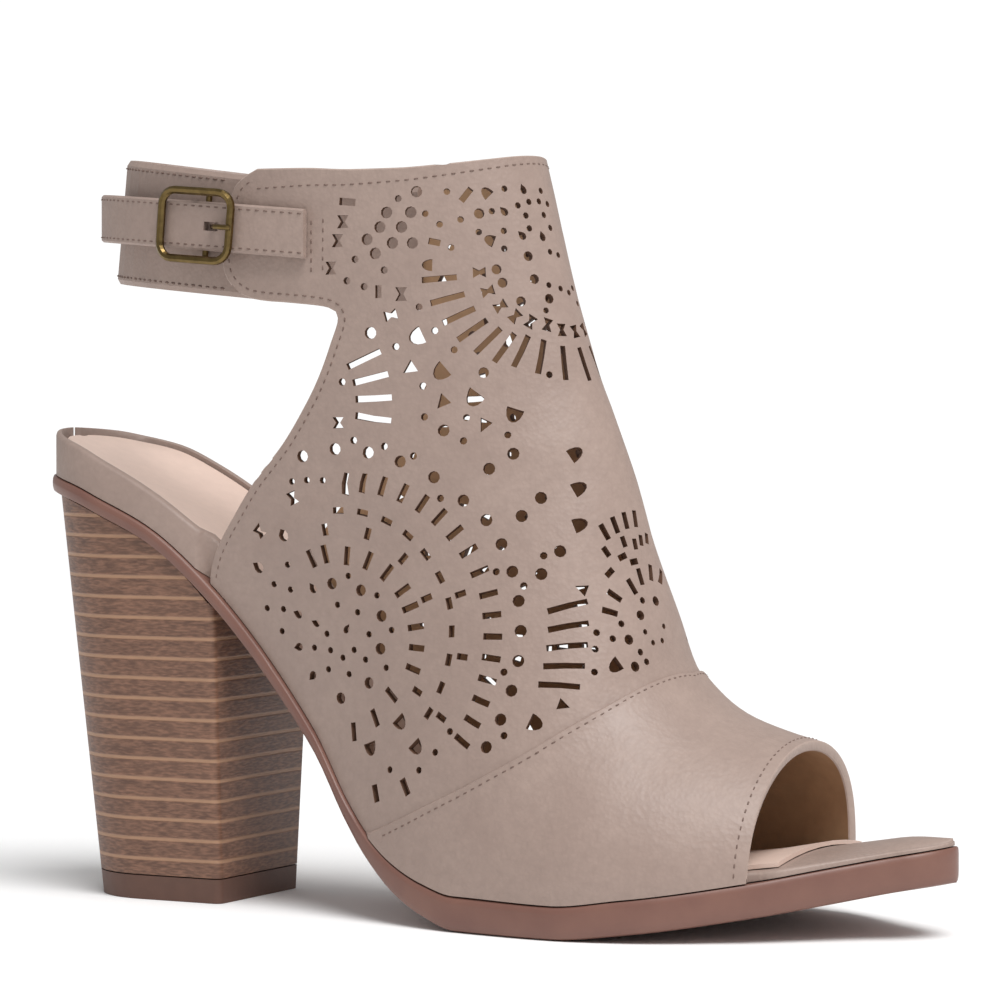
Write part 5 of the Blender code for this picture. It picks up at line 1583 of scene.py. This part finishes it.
class SANDAL_OT_bed(bpy.types.Operator):
    """Wrapped footbed and its sock"""

    bl_idname = "sandal.bed"
    bl_label = "Footbed and sock"

    def execute(self, context):
        colours, _ = settings()
        wrap = leather("footbed_wrap", tuple(colours.leather), tuple(colours.pale_mottle_and_edge_highlight))
        make_footbed(wrap)
        make_sock_lining(plain("sock_cream", tuple(colours.sock), 0.45, change=0.05))
        return {"FINISHED"}


class SANDAL_OT_heel(bpy.types.Operator):
    """Stacked heel and its top piece"""

    bl_idname = "sandal.heel"
    bl_label = "Heel"

    def execute(self, context):
        colours, sizes = settings()
        make_heel_block(stacked_finish(colours, sizes.layer_pitch))
        make_toplift(plain("toplift_rubber", tuple(colours.toplift), 0.55))
        return {"FINISHED"}


class SANDAL_OT_band(bpy.types.Operator):
    """Finish of the band, strap and loop"""

    bl_idname = "sandal.band"
    bl_label = "Band and strap"

    def execute(self, context):
        colours, _ = settings()
        finish = leather("band_leather", tuple(colours.leather), tuple(colours.pale_mottle_and_edge_highlight))
        for name in ("back_cuff", "ankle_strap", "buckle_loop"):
            dress_node(name, finish)
        return {"FINISHED"}


class SANDAL_OT_buckle(bpy.types.Operator):
    """Antique brass of the buckle and its pin"""

    bl_idname = "sandal.buckle"
    bl_label = "Buckle"

    def execute(self, context):
        colours, _ = settings()
        brass = plain("antique_brass", tuple(colours.brass), 0.32, 1.0, scale=500.0, change=0.35)
        dress_node("buckle_frame", brass)
        dress_node("buckle_prong", brass)
        return {"FINISHED"}


class SANDAL_OT_stage(bpy.types.Operator):
    """Pale floor, soft light and camera"""

    bl_idname = "sandal.stage"
    bl_label = "Stage"

    def execute(self, context):
        colours, _ = settings()
        scene = bpy.context.scene
        tidy_selection()
        bpy.ops.mesh.primitive_plane_add(size=FLOOR_SIZE, location=(0, 0, -0.05 * MM))
        floor = bpy.context.object
        floor.name = "studio_floor"
        finish = Finish("floor_white", 0.9, specular=0.1)
        finish.set("Base Color", tint(tuple(colours.floor)))
        floor.data.materials.append(finish.material)
        world = bpy.data.worlds.new("studio")
        world.use_nodes = True
        back = world.node_tree.nodes["Background"]
        back.inputs["Color"].default_value = (1, 1, 1, 1)
        seen = world.node_tree.nodes.new("ShaderNodeLightPath")
        level = world.node_tree.nodes.new("ShaderNodeMapRange")
        level.inputs["To Min"].default_value = WORLD_LIGHT
        level.inputs["To Max"].default_value = BACKDROP_LIGHT
        world.node_tree.links.new(seen.outputs["Is Camera Ray"], level.inputs["Value"])
        world.node_tree.links.new(level.outputs["Result"], back.inputs["Strength"])
        scene.world = world
        scene.view_settings.view_transform = "Standard"
        sun = bpy.data.lights.new("window_light", "SUN")
        sun.energy = SUN_POWER
        sun.angle = math.radians(SUN_SPREAD)
        window = bpy.data.objects.new("window_light", sun)
        scene.collection.objects.link(window)
        window.rotation_euler = [math.radians(a) for a in SUN_TURN]
        for name, place, size, power in LIGHTS:
            make_soft_light(name, place, (0, 0, 0.06), size, power)
        camera = bpy.data.cameras.new("photo_camera")
        camera.lens = CAMERA_LENS
        camera.sensor_width = 36.0
        holder = bpy.data.objects.new("photo_camera", camera)
        scene.collection.objects.link(holder)
        holder.location = CAMERA_PLACE
        holder.rotation_euler = [math.radians(a) for a in CAMERA_TURN]
        scene.camera = holder
        return {"FINISHED"}


class SANDAL_PT_panel(bpy.types.Panel):
    """Lists the sandal's pieces, sizes and colours"""

    bl_idname = "SANDAL_PT_panel"
    bl_label = "Block heel sandal"
    bl_space_type = "VIEW_3D"
    bl_region_type = "UI"
    bl_category = "Sandal"

    def draw(self, context):
        for operator in OPERATORS:
            self.layout.operator(operator.bl_idname)
        for group in (context.scene.sandal_sizes, context.scene.sandal_colours):
            for name in group.__annotations__:
                self.layout.prop(group, name)


OPERATORS = (
    SANDAL_OT_upper,
    SANDAL_OT_stitches,
    SANDAL_OT_sole,
    SANDAL_OT_bed,
    SANDAL_OT_heel,
    SANDAL_OT_band,
    SANDAL_OT_buckle,
    SANDAL_OT_stage,
)
CLASSES = (SandalSizes, SandalColours, *OPERATORS, SANDAL_PT_panel)


def register():
    for item in CLASSES:
        bpy.utils.register_class(item)
    bpy.types.Scene.sandal_sizes = bpy.props.PointerProperty(type=SandalSizes)
    bpy.types.Scene.sandal_colours = bpy.props.PointerProperty(type=SandalColours)


def unregister():
    del bpy.types.Scene.sandal_colours
    del bpy.types.Scene.sandal_sizes
    for item in reversed(CLASSES):
        bpy.utils.unregister_class(item)


def main():
    """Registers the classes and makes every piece."""
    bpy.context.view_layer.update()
    register()
    for operator in OPERATORS:
        group, name = operator.bl_idname.split(".")
        getattr(getattr(bpy.ops, group), name)()
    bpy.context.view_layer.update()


if __name__ == "__main__":
    main()
